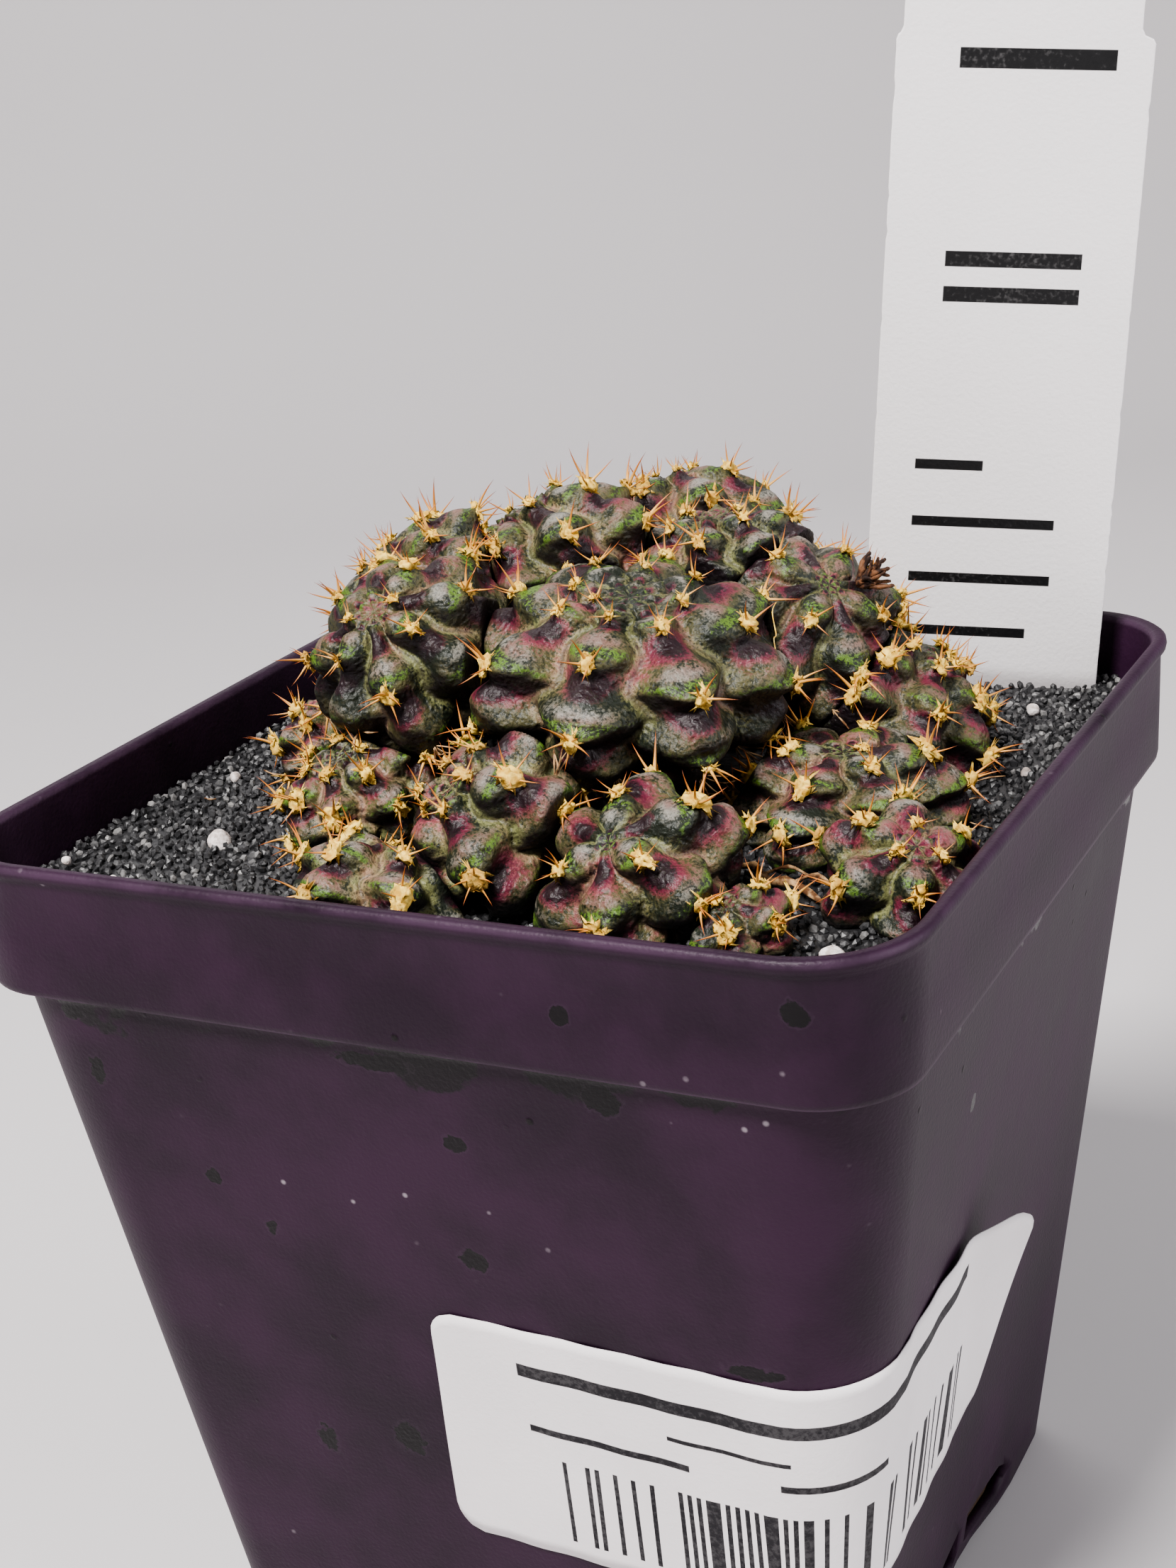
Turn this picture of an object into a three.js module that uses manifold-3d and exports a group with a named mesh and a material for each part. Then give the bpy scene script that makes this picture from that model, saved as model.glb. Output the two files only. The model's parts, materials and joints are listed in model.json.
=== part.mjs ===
// A clumping chin cactus in a square nursery pot, in millimetres, +Z up, with the origin on the
// ground under the middle of the pot. The pot's front face looks along -Y and its right face
// along +X. The clump is many ribbed heads pressed against each other, standing on dark grit
// over a potting mix, with a plant tag behind them and a paper sticker round one pot corner.
import * as THREE from "three";
import { mergeVertices } from "three/addons/utils/BufferGeometryUtils.js";
import Module from "manifold-3d";

const wasm = await Module();
wasm.setup();

// Pot
const RIM_HALF = 48;
const POT_HEIGHT = 97.5;
const BAND_Z = 83.8; // the underside of the rim band
const WALL = 1.2;
const FLOOR = 1.6;
const ARCH_HALF = 20; // half the width of the raised edge between two corner feet
const ARCH_RISE = 3.9;
const CORNER_STEPS = 5;

// Filling
const GAP = 0.3; // between two pieces that touch
const SAND_Z = 91.5;
const SAND_BOTTOM = 80.3;
const MIX_TOP = 80;

// The root of the biggest head, and its plain hole through the grit
const ROOT = { x: 9, y: -10, radius: 5.5, bottom: 70, top: 103 };
const ROOT_HOLE = ROOT.radius + 0.35;

// Plant tag
const TAG = { width: 25.4, thickness: 0.6, base: [27.5, 37.4, 91.5] };
const TAG_YAW = 19.2;
const TAG_LEAN = 5.6;
const TAG_BACK = -1.4;

// Sticker
const STICKER_THICKNESS = 0.5;
const STICKER_END_Y = -5.5;
const STICKER_TOP_Z = 54;
// Its far upper corner is folded off the wall along a slanting line: where the line meets the top
// edge, how far it moves along for each millimetre lower, and how steeply the flap stands off
const STICKER_FOLD = { y: -13, slant: 0.27, rise: 0.59 };

// Heads. at: the middle of the head; radius: to the tips of its chins; squash: its height over
// its width; tilt and towards: the lean of its axis; firstRib, firstRow, rowStep: the angles
// at which its ribs start, its first row of areoles lies and the rows follow, in degrees.
const HEADS = [
  { name: "stem_front", at: [9, -10, 107], radius: 16, squash: 0.6, tilt: 12, towards: -48, firstRib: 99, firstRow: 27, rowStep: 37, ribs: 8, close: true },
  { name: "stem_left", at: [-11.5, -13.5, 107.5], radius: 11.3, squash: 0.94, tilt: 39, towards: -106, firstRib: 127, firstRow: 13, rowStep: 39, ribs: 8, close: true },
  { name: "stem_right", at: [18.5, 8.5, 105], radius: 12, squash: 0.8, tilt: 37.4, towards: -24, firstRib: 166, firstRow: 8, rowStep: 45, ribs: 8, close: true },
  { name: "stem_crown_left", at: [-5.5, 5.5, 111.5], radius: 11.5, squash: 0.8, tilt: 30, towards: 187, firstRib: 220, firstRow: 23, rowStep: 44, ribs: 8, close: true },
  { name: "stem_crown_right", at: [10, 11, 109], radius: 11.5, squash: 0.8, tilt: 7, towards: 170, firstRib: 203, firstRow: 14, rowStep: 28, ribs: 8, close: true },
  { name: "stem_crown_back", at: [0.5, 22.5, 109.5], radius: 12, squash: 0.8, tilt: 19, towards: 148, firstRib: -99, firstRow: 14.5, rowStep: 47, ribs: 8, close: true },
  { name: "stem_left_back", at: [-17.5, -2, 110], radius: 11.5, squash: 0.7, tilt: 40, towards: 200, firstRib: 56, firstRow: 15, rowStep: 34, ribs: 8 },
  { name: "stem_back_left", at: [-17, 16, 104], radius: 11, squash: 0.75, tilt: 30, towards: 140, firstRib: 10, firstRow: 24, rowStep: 38, ribs: 8 },
  { name: "stem_back_right", at: [13.5, 25, 102], radius: 10, squash: 0.75, tilt: 30, towards: 70, firstRib: 40, firstRow: 24, rowStep: 38, ribs: 8 },
  { name: "offset_front_left", at: [3.2, -27.3, 97.5], radius: 9.7, squash: 0.75, tilt: 42, towards: -139, firstRib: 306, firstRow: 25.7, rowStep: 47.7, ribs: 6, close: true },
  { name: "offset_front", at: [18.5, -30, 95], radius: 9.6, squash: 0.74, tilt: 38, towards: -108, firstRib: 141, firstRow: 8, rowStep: 46, ribs: 6 },
  { name: "offset_left", at: [-14.5, -22.5, 96.5], radius: 8.3, squash: 0.75, tilt: 25, towards: -128, firstRib: -35, firstRow: 22, rowStep: 39, ribs: 8 },
  { name: "offset_corner_left", at: [-4.5, -36.5, 93], radius: 8, squash: 0.74, tilt: 28, towards: 65, firstRib: 64, firstRow: 12.6, rowStep: 42, ribs: 6 },
  { name: "offset_right", at: [28.5, -6.5, 94], radius: 11, squash: 0.6, tilt: 6, towards: -52, firstRib: 75, firstRow: 11, rowStep: 31, ribs: 6 },
  { name: "offset_right_back", at: [26.5, 10.8, 97], radius: 11.5, squash: 0.78, tilt: 33, towards: 28, firstRib: 190.5, firstRow: 27, rowStep: 32, ribs: 8 },
  { name: "offset_corner_right", at: [39, -20.5, 93], radius: 7.5, squash: 0.8, tilt: 33, towards: -38, firstRib: 33, firstRow: 17, rowStep: 52, ribs: 6 },
  { name: "offset_small_front", at: [29, -33, 92.5], radius: 4.7, squash: 0.8, tilt: 24, towards: -119, firstRib: 228, firstRow: 17, rowStep: 52, ribs: 6 },
  { name: "offset_back", at: [-8, 32, 98], radius: 9, squash: 0.75, tilt: 30, towards: 110, firstRib: 70, firstRow: 24, rowStep: 38, ribs: 6 },
  { name: "offset_back_left", at: [-25.5, 6, 96], radius: 8, squash: 0.75, tilt: 30, towards: 170, firstRib: 20, firstRow: 24, rowStep: 40, ribs: 6 },
  { name: "offset_small_left", at: [-26, -8.5, 97], radius: 6, squash: 0.85, tilt: 20, towards: 200, firstRib: 20, firstRow: 24, rowStep: 40, ribs: 6 },
];
// The skin's form, in head radii: the core, the ridge of a rib, the depth of a crease, how far
// it zigzags (in ribs), the ball of flesh over an areole (its radius times the number of ribs,
// how deep its middle lies and how much it is stretched along the rib), the chin and the
// hollow under it.
const CORE = 0.83;
const FORM = {
  ridge: 0.925,
  crease: 0.35,
  zigzag: 0.1,
  ball: 1.5,
  depth: 0.815,
  stretch: 0.32,
  chin: 0.05,
  throat: 0.045,
};
const HEAD_GAP = 0.18; // each of two pressed heads keeps this far from the plane between them
const INNER_HALF = 45.4; // heads that reach the wall are pressed flat against it

// Spines: three to an areole, left, right and down, three-sided, grown out of the skin
const SPINE = { length: 5.2, foot: 0.75, splay: 50 };
const SPINE_TURNS = [-62, 62, 180]; // degrees round the areole, 0 being towards the crown
const SPINE_CLEAR = 0.6; // from any other piece
const AREOLES_APART = 3.6; // of two areoles nearer than this only the lower one is kept
const SEED = 20531;

// Perlite lumps on the grit: x, y, z and radius
const PERLITE = [
  [29, -39.8, 91.6, 1.6],
  [8.3, -41.2, 91.1, 1],
  [37.5, -33.5, 91.2, 1.2],
  [-31, -24, 91.2, 1.3],
];

const radians = THREE.MathUtils.degToRad;

function material(color, roughness) {
  return new THREE.MeshStandardMaterial({ color, roughness, metalness: 0 });
}

// One seeded stream of random numbers from 0 to 1.
let state = SEED;
function random() {
  state = (state * 1664525 + 1013904223) % 4294967296;
  return state / 4294967296;
}

function toSolid(geometry) {
  const bare = geometry.clone();
  bare.deleteAttribute("normal");
  bare.deleteAttribute("uv");
  const merged = mergeVertices(bare, 1e-4);
  const vertProperties = new Float32Array(merged.attributes.position.array);
  const triVerts = new Uint32Array(merged.index.array);
  return new wasm.Manifold(new wasm.Mesh({ numProp: 3, vertProperties, triVerts }));
}

function toGeometry(solid) {
  const mesh = solid.getMesh();
  const geometry = new THREE.BufferGeometry();
  geometry.setAttribute("position", new THREE.BufferAttribute(mesh.vertProperties, 3));
  geometry.setIndex(new THREE.BufferAttribute(mesh.triVerts, 1));
  geometry.computeVertexNormals();
  return geometry;
}

function indexed(points, faces) {
  const geometry = new THREE.BufferGeometry().setFromPoints(points);
  geometry.setIndex(faces);
  return geometry;
}

// The faces of a closed skin over rings of points, the lowest ring first, each running
// anticlockwise from above. Two more points close the low end and the high end.
function skinFaces(rings, count) {
  const low = rings * count;
  const high = low + 1;
  const last = (rings - 1) * count;
  const faces = [];
  for (let i = 0; i < count; i += 1) {
    const next = (i + 1) % count;
    faces.push([low, next, i], [high, last + i, last + next]);
    for (let ring = 0; ring < last; ring += count) {
      const above = ring + count;
      faces.push([ring + i, ring + next, above + next], [ring + i, above + next, above + i]);
    }
  }
  return faces;
}

function skinOver(rings, lowPoint, highPoint) {
  const faces = skinFaces(rings.length, rings[0].length);
  return indexed([...rings.flat(), lowPoint, highPoint], faces.flat());
}

// Rounded square
function squareRing(half, corner, z) {
  const ring = [];
  for (let quarter = 0; quarter < 4; quarter += 1) {
    const middle = radians(45 + 90 * quarter);
    const reach = (half - corner) * Math.SQRT2;
    for (let step = 0; step <= CORNER_STEPS; step += 1) {
      const angle = radians(90 * quarter + (90 * step) / CORNER_STEPS);
      const x = reach * Math.cos(middle) + corner * Math.cos(angle);
      const y = reach * Math.sin(middle) + corner * Math.sin(angle);
      ring.push(new THREE.Vector3(x, y, z));
    }
  }
  return ring;
}

function squareLoft(levels) {
  const rings = levels.map(([z, half, corner]) => squareRing(half, corner, z));
  const low = new THREE.Vector3(0, 0, levels[0][0]);
  const high = new THREE.Vector3(0, 0, levels.at(-1)[0]);
  return skinOver(rings, low, high);
}

// The wall's outside below the band: half its width and its corner radius at a height
const wallHalf = (z) => 34.35 + ((z - 0.8) * 11.15) / 83;
const wallCorner = (z) => 5.5 + ((z - 0.8) * 5.6) / 83;

// A prism with the given outline in Y and Z, running along X from one end to the other
function prism(outline, from, to) {
  const shape = new THREE.Shape(outline.map(([y, z]) => new THREE.Vector2(y, z)));
  const geometry = new THREE.ExtrudeGeometry(shape, { depth: to - from, bevelEnabled: false });
  geometry.applyMatrix4(
    new THREE.Matrix4().makeBasis(
      new THREE.Vector3(0, 1, 0),
      new THREE.Vector3(0, 0, 1),
      new THREE.Vector3(1, 0, 0),
    ),
  );
  geometry.translate(from, 0, 0);
  return geometry;
}

const turned = (geometry, quarter) => geometry.clone().rotateZ((Math.PI / 2) * quarter);

// The raised edge between the feet, cut right through under the floor, grown by a margin
function arch(margin) {
  const side = ARCH_HALF + margin;
  const top = ARCH_RISE + margin;
  const outline = [
    [-side, -5],
    [side, -5],
    [side, margin],
    [13 + margin / 2, margin + 1.1],
    [6, top - 0.7],
    [0, top],
    [-6, top - 0.7],
    [-13 - margin / 2, margin + 1.1],
    [-side, margin],
  ];
  return toSolid(prism(outline, -60, 60)).add(toSolid(turned(prism(outline, -60, 60), 1)));
}

function potGeometry() {
  const outside = toSolid(
    squareLoft([
      [0, 33.7, 5.2],
      [0.8, wallHalf(0.8), wallCorner(0.8)],
      [BAND_Z, wallHalf(BAND_Z), wallCorner(BAND_Z)],
      [BAND_Z + 0.01, 46.9, 8.9],
      [96.3, 47.4, 10.2],
      [96.31, RIM_HALF, 10.7],
      [97.1, RIM_HALF, 10.7],
      [POT_HEIGHT, RIM_HALF - 0.3, 10.4],
    ]),
  );
  const inside = toSolid(
    squareLoft([
      [FLOOR, wallHalf(FLOOR) - WALL, 4.4],
      [82.6, wallHalf(82.6) - WALL, 9.8],
      [84.2, 45.7, 9.4],
      [POT_HEIGHT + 0.5, 46.4, 9.6],
    ]),
  );
  let pot = outside.subtract(inside.subtract(arch(FLOOR))).subtract(arch(0));
  const slot = [
    [1.5, 5.9],
    [7, 5.1],
    [13, 4],
    [15.5, 4.7],
    [15.5, 6.4],
    [13, 7.8],
    [7, 8.9],
    [1.5, 9.7],
  ];
  const mirrored = slot.map(([y, z]) => [-y, z]).reverse();
  for (let quarter = 0; quarter < 4; quarter += 1) {
    for (const outline of [slot, mirrored]) {
      pot = pot.subtract(toSolid(turned(prism(outline, 31.5, 38), quarter)));
    }
  }
  return toGeometry(pot);
}

// Tag. Its frame: x across the tag, y along it from its base upwards, z its thickness.
function tagMatrix() {
  const yaw = radians(TAG_YAW);
  const back = radians(TAG_BACK);
  const wide = new THREE.Vector3(Math.cos(yaw), Math.sin(yaw), 0);
  const rear = new THREE.Vector3(-Math.sin(yaw), Math.cos(yaw), 0);
  const upright = new THREE.Vector3(0, 0, Math.cos(back)).addScaledVector(rear, Math.sin(back));
  const lean = radians(TAG_LEAN);
  const across = wide.clone().multiplyScalar(Math.cos(lean)).addScaledVector(upright, -Math.sin(lean));
  const along = upright.clone().multiplyScalar(Math.cos(lean)).addScaledVector(wide, Math.sin(lean));
  const face = new THREE.Vector3().crossVectors(across, along);
  return new THREE.Matrix4().makeBasis(across, along, face).setPosition(...TAG.base);
}

// The outline, grown by a margin: a point in the ground, straight sides, and narrower above
// the shoulders. It tapers early enough to pass the pot's inner corner.
function tagOutline(margin) {
  const half = TAG.width / 2 + margin;
  const shape = new THREE.Shape();
  shape.moveTo(0, -36 - 2 * margin);
  shape.lineTo(half, -8);
  shape.lineTo(half, 68);
  shape.lineTo(11.3, 68.4);
  shape.lineTo(11.3, 76);
  shape.quadraticCurveTo(11.3, 78, 9.3, 78);
  shape.lineTo(-10, 78);
  shape.quadraticCurveTo(-12.05, 78, -12.05, 76);
  shape.lineTo(-12.05, 68.4);
  shape.lineTo(-half, 68);
  shape.lineTo(-half, -8);
  return shape;
}

function tagGeometry(margin) {
  const depth = TAG.thickness + 2 * margin;
  const geometry = new THREE.ExtrudeGeometry(tagOutline(margin), {
    depth,
    bevelEnabled: false,
    curveSegments: 3,
  });
  return geometry.translate(0, 0, -depth / 2);
}

const tagSlot = toSolid(tagGeometry(0.35).applyMatrix4(tagMatrix()));

function rootHole() {
  const geometry = new THREE.CylinderGeometry(ROOT_HOLE, ROOT_HOLE, 60, 16);
  return toSolid(geometry.rotateX(Math.PI / 2).translate(ROOT.x, ROOT.y, ROOT.bottom - 0.4 + 30));
}

function mixGeometry() {
  const full = toSolid(
    squareLoft([
      [FLOOR + GAP, wallHalf(FLOOR + GAP) - WALL - GAP, 4.1],
      [MIX_TOP, wallHalf(MIX_TOP) - WALL - GAP, 9.4],
    ]),
  );
  return toGeometry(full.subtract(arch(FLOOR + GAP)).subtract(tagSlot).subtract(rootHole()));
}

function sandGeometry() {
  const rings = [
    squareRing(wallHalf(SAND_BOTTOM) - WALL - GAP, 9.4, SAND_BOTTOM),
    squareRing(wallHalf(82.2) - WALL - GAP, 9.6, 82.2),
    squareRing(45.3, 9.1, 84.5),
    squareRing(45.7, 9.2, SAND_Z - 0.4),
  ];
  for (const part of [0.82, 0.55, 0.25]) {
    const ring = squareRing(45.7 * part, 9.2 * part, SAND_Z);
    ring.forEach((point) => point.setZ(SAND_Z - 0.7 * random()));
    rings.push(ring);
  }
  const middle = new THREE.Vector3(0, 0, SAND_Z - 0.2);
  let sand = toSolid(skinOver(rings, new THREE.Vector3(0, 0, SAND_BOTTOM), middle));
  for (const [x, y, z, radius] of PERLITE) {
    const lump = new THREE.IcosahedronGeometry(radius, 0);
    sand = sand.add(toSolid(lump.scale(1.1, 0.9, 0.8).rotateZ(x).translate(x, y, z)));
  }
  return toGeometry(sand.subtract(tagSlot).subtract(rootHole()));
}

// Sticker
// The wall's surface at a height, a distance off it, at a place along the front and right
// faces: x on the front face, the turned angle at the corner, or y on the right face.
function onWall(place, z, off) {
  const slope = 11.15 / 83;
  const half = wallHalf(z) + off * Math.hypot(1, slope);
  const corner = wallCorner(z) + off;
  if (place.front !== undefined) return new THREE.Vector3(place.front, -half, z);
  if (place.right !== undefined) return new THREE.Vector3(half, place.right, z);
  const middle = half - corner;
  const x = middle + corner * Math.sin(place.turn);
  const y = -middle - corner * Math.cos(place.turn);
  return new THREE.Vector3(x, y, z);
}

function stickerGeometry() {
  const columns = [];
  for (const along of [0, 0.9, 3, 9, 16, 23, 30]) columns.push({ start: along });
  for (let step = 1; step < 6; step += 1) columns.push({ turn: radians(15 * step) });
  for (const y of [-29, -24, -18, -13, -11, -9.4, -7.8, -6.4, STICKER_END_Y]) columns.push({ right: y });
  const rows = [0, 0.12, 0.35, 0.6, 0.82, 1];
  const rounding = 3;
  const outer = [];
  const inner = [];
  columns.forEach((column, index) => {
    const share = index / (columns.length - 1);
    const fromEnd = Math.min(column.start ?? 99, Math.abs((column.right ?? 99) - STICKER_END_Y));
    const inset = fromEnd < rounding ? rounding - Math.sqrt(rounding ** 2 - (rounding - fromEnd) ** 2) : 0;
    const bottom = 26.7 + 1.8 * share ** 3 - 1.2 * Math.sin(Math.PI * share) + inset;
    const top = STICKER_TOP_Z - 0.8 * Math.sin(Math.PI * share) - inset;
    for (const row of rows) {
      const z = bottom + (top - bottom) * row;
      const place = { ...column };
      if (column.start !== undefined) place.front = -3.4 + 1.3 * row + column.start;
      const fold = STICKER_FOLD.y + STICKER_FOLD.slant * (STICKER_TOP_Z - z);
      const lift = STICKER_FOLD.rise * Math.max(0, (column.right ?? fold) - fold);
      inner.push(onWall(place, z, GAP + lift));
      outer.push(onWall(place, z, GAP + STICKER_THICKNESS + lift));
    }
  });
  // Both sides as grids of columns and rows, joined round the edge
  const high = rows.length;
  const wide = columns.length;
  const count = outer.length;
  const faces = [];
  for (let i = 0; i < wide - 1; i += 1) {
    for (let j = 0; j < high - 1; j += 1) {
      const a = i * high + j;
      const b = a + high;
      faces.push(a, b, b + 1, a, b + 1, a + 1);
      faces.push(count + a, count + b + 1, count + b, count + a, count + a + 1, count + b + 1);
    }
  }
  const edge = [];
  for (let i = 0; i < wide - 1; i += 1) edge.push(i * high);
  for (let j = 0; j < high - 1; j += 1) edge.push((wide - 1) * high + j);
  for (let i = wide - 1; i > 0; i -= 1) edge.push(i * high + high - 1);
  for (let j = high - 1; j > 0; j -= 1) edge.push(j);
  edge.forEach((a, index) => {
    const b = edge[(index + 1) % edge.length];
    faces.push(a, count + a, count + b, a, count + b, b);
  });
  return indexed([...outer, ...inner], faces);
}

// Heads
function headFrame(head) {
  const tilt = radians(head.tilt);
  const turn = radians(head.towards);
  const axis = new THREE.Vector3(
    Math.sin(tilt) * Math.cos(turn),
    Math.sin(tilt) * Math.sin(turn),
    Math.cos(tilt),
  );
  const side = new THREE.Vector3(
    Math.cos(tilt) * Math.cos(turn),
    Math.cos(tilt) * Math.sin(turn),
    -Math.sin(tilt),
  );
  head.centre = new THREE.Vector3(...head.at);
  head.axis = axis;
  head.side = side;
  head.other = new THREE.Vector3().crossVectors(axis, side);
  head.planes = [];
}

// A ray from the middle of a head: theta turns round its axis and phi opens from its crown.
// Its length is in head radii, so it is shorter along the squashed axis.
function ray(head, theta, phi) {
  return new THREE.Vector3()
    .addScaledVector(head.side, Math.sin(phi) * Math.cos(theta))
    .addScaledVector(head.other, Math.sin(phi) * Math.sin(theta))
    .addScaledVector(head.axis, head.squash * Math.cos(phi));
}

// How far the skin stands out, as a share of the radius. Ribs are counted round the head,
// whole numbers on their crests, and rows down it, whole numbers on the areoles of even ribs
// and half way between them on odd ribs. Creases part the ribs and zigzag round the areoles;
// every areole has a ball of flesh over it, a chin at its tip and a hollow below.
function relief(head, theta, phi) {
  const straight = ((theta - radians(head.firstRib)) * head.ribs) / (2 * Math.PI);
  const row = (THREE.MathUtils.radToDeg(phi) - head.firstRow) / head.rowStep;
  const wave = Math.cos(2 * Math.PI * (row + 0.18)) * Math.sin(Math.PI * straight);
  const rib = straight - FORM.zigzag * wave;
  const nearest = Math.round(rib);
  const crease = 1 - Math.sqrt(1 - (1.92 * Math.abs(rib - nearest)) ** 2);
  const ribWidth = (Math.sin(phi) * 2 * Math.PI) / head.ribs;
  const ball = (FORM.ball / head.ribs) * (0.45 + 0.55 * Math.sin(phi));
  const bump = (x, y, wide, high) => Math.exp(-((x / wide) ** 2) - (y / high) ** 2);
  let ridge = FORM.ridge - FORM.crease * crease;
  let balls = 0;
  let chin = 0;
  for (let k = nearest - 1; k <= nearest + 1; k += 1) {
    const across = rib - k;
    const shifted = row - 0.5 * Math.abs(k % 2);
    const first = Math.round(shifted);
    for (let j = first - 1; j <= first + 1; j += 1) {
      const down = shifted - j;
      const along = (down + 0.26) * radians(head.rowStep);
      const off = (across * ribWidth) ** 2 + FORM.stretch * along ** 2;
      const chord = Math.sqrt(Math.max(0, ball ** 2 - FORM.depth ** 2 * off));
      balls = Math.max(balls, FORM.depth * (1 - off / 2) + chord);
      chin += FORM.chin * bump(across, down + 0.02, 0.16, 0.1);
      ridge -= FORM.throat * bump(across, down - 0.28, 0.36, 0.22);
    }
  }
  return Math.max(ridge, balls) + chin;
}

// The relief fades out towards the crown.
function freeReach(head, theta, phi) {
  const fade = Math.min(1, Math.max(0, Math.sin(phi) / Math.sin(radians(18)))) ** 1.2;
  return head.radius * (CORE + (relief(head, theta, phi) - CORE) * fade);
}

function pressedReach(head, direction, reach) {
  let pressed = reach;
  for (const plane of head.planes) {
    const towards = direction.dot(plane.normal);
    if (towards > 1e-6) pressed = Math.min(pressed, plane.distance / towards);
  }
  return pressed;
}

function addPlane(head, normal, distance) {
  head.planes.push({ normal: normal.clone().normalize(), distance });
}

function pressHeads() {
  for (const head of HEADS) {
    for (const other of HEADS) {
      if (other === head) continue;
      const between = other.centre.clone().sub(head.centre);
      const span = between.length();
      const share = (span ** 2 + head.radius ** 2 - other.radius ** 2) / (2 * span);
      addPlane(head, between, share - HEAD_GAP);
    }
    const [x, y, z] = head.at;
    addPlane(head, new THREE.Vector3(0, 0, -1), z - SAND_Z - GAP);
    addPlane(head, new THREE.Vector3(1, 0, 0), INNER_HALF - x);
    addPlane(head, new THREE.Vector3(-1, 0, 0), INNER_HALF + x);
    addPlane(head, new THREE.Vector3(0, 1, 0), INNER_HALF - y);
    addPlane(head, new THREE.Vector3(0, -1, 0), INNER_HALF + y);
    if (head.name === "offset_right_back" || head.name === "stem_back_right") {
      const matrix = tagMatrix();
      const face = new THREE.Vector3().setFromMatrixColumn(matrix, 2).negate();
      const base = new THREE.Vector3(...TAG.base);
      addPlane(head, face, base.sub(head.centre).dot(face) - TAG.thickness / 2 - GAP);
    }
  }
}

// The angle from the crown down to which a head's rows are followed: past its widest part on
// the tall stems, and to the grit on the low offsets
const lastRow = (head) => (head.name.startsWith("stem") ? 112 : 94);

// A head's net: rings at the bulge, the chin and the hollow of each areole, lower by half a row
// on every second rib. It keeps the number of the vertex at the tip of each bare chin.
function headNet(head) {
  const perRib = head.close ? 4 : 2;
  const columns = head.ribs * perRib;
  const levels = head.close ? [0.32, -0.02, -0.3] : [0.4, -0.02];
  const rows = [{ phi: 140, step: 0 }];
  for (let j = 3; j > -2; j -= 1) {
    for (const level of levels) {
      const phi = head.firstRow + head.rowStep * (j + level);
      if (phi > 9 && phi < lastRow(head)) rows.push({ phi, step: head.rowStep, chin: level === -0.02 });
    }
  }
  rows.push({ phi: 6, step: 0 });
  const points = [];
  const chins = [];
  for (const row of rows) {
    for (let i = 0; i < columns; i += 1) {
      const rib = i / perRib;
      const theta = radians(head.firstRib) + (2 * Math.PI * rib) / head.ribs;
      const lowered = 0.5 * (1 - Math.abs((rib % 2) - 1));
      const phi = radians(row.phi + row.step * lowered);
      const direction = ray(head, theta, phi);
      const free = freeReach(head, theta, phi);
      const reach = pressedReach(head, direction, free);
      const point = direction.multiplyScalar(reach).add(head.centre);
      const bare = reach > free - 0.3 && point.z > SAND_Z + 1.2;
      const alone = chins.every(({ vertex }) => points[vertex].distanceTo(point) > AREOLES_APART);
      if (row.chin && i % perRib === 0 && bare && alone) {
        chins.push({ vertex: points.length, theta, phi });
      }
      points.push(point);
    }
  }
  for (const phi of [Math.PI, 0]) {
    const direction = ray(head, 0, phi);
    const reach = pressedReach(head, direction, CORE * head.radius);
    points.push(direction.multiplyScalar(reach).add(head.centre));
  }
  return { points, faces: skinFaces(rows.length, columns), chins };
}

// How far outside a head's skin a point lies, roughly, along the ray through it
function clearOf(head, point) {
  const local = point.clone().sub(head.centre);
  const x = local.dot(head.side);
  const y = local.dot(head.other);
  const z = local.dot(head.axis) / head.squash;
  const reach = Math.hypot(x, y, z);
  if (reach > 1.4 * head.radius) return 9;
  const phi = Math.acos(THREE.MathUtils.clamp(z / reach, -1, 1));
  const theta = Math.atan2(y, x);
  const skin = pressedReach(head, ray(head, theta, phi), freeReach(head, theta, phi));
  return ((reach - skin) * local.length()) / reach;
}

const tagInverse = tagMatrix().invert();
function clearOfPieces(point) {
  const { x, y, z } = point;
  const across = Math.max(Math.abs(x), Math.abs(y));
  if (z < SAND_Z + 0.4 || across > (z < POT_HEIGHT + 0.7 ? 45 : 47.5)) return false;
  for (const [px, py, pz, radius] of PERLITE) {
    if (Math.hypot(x - px, y - py, z - pz) < radius + SPINE_CLEAR) return false;
  }
  const onTag = point.clone().applyMatrix4(tagInverse);
  return Math.abs(onTag.z) > 0.9 || Math.abs(onTag.x) > TAG.width / 2 + SPINE_CLEAR;
}

// The shortest distance between two straight spines
function apart(a, b) {
  let least = Infinity;
  const point = new THREE.Vector3();
  const near = new THREE.Vector3();
  for (const [one, two] of [[a, b], [b, a]]) {
    for (let step = 0; step <= 8; step += 1) {
      point.lerpVectors(one.start, one.end, step / 8);
      new THREE.Line3(two.start, two.end).closestPointToPoint(point, true, near);
      least = Math.min(least, near.distanceTo(point));
    }
  }
  return least;
}

function spineClear(spine, placed) {
  const point = new THREE.Vector3();
  for (let step = 1; step <= 6; step += 1) {
    point.lerpVectors(spine.start, spine.end, step / 6);
    if (!clearOfPieces(point)) return false;
    for (const other of HEADS) {
      const least = other === spine.head ? Math.min(0.3, 0.1 * step) : SPINE_CLEAR;
      if (clearOf(other, point) < least) return false;
    }
  }
  return placed.every((other) => other.chin === spine.chin || apart(spine, other) > 0.95);
}

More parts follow.
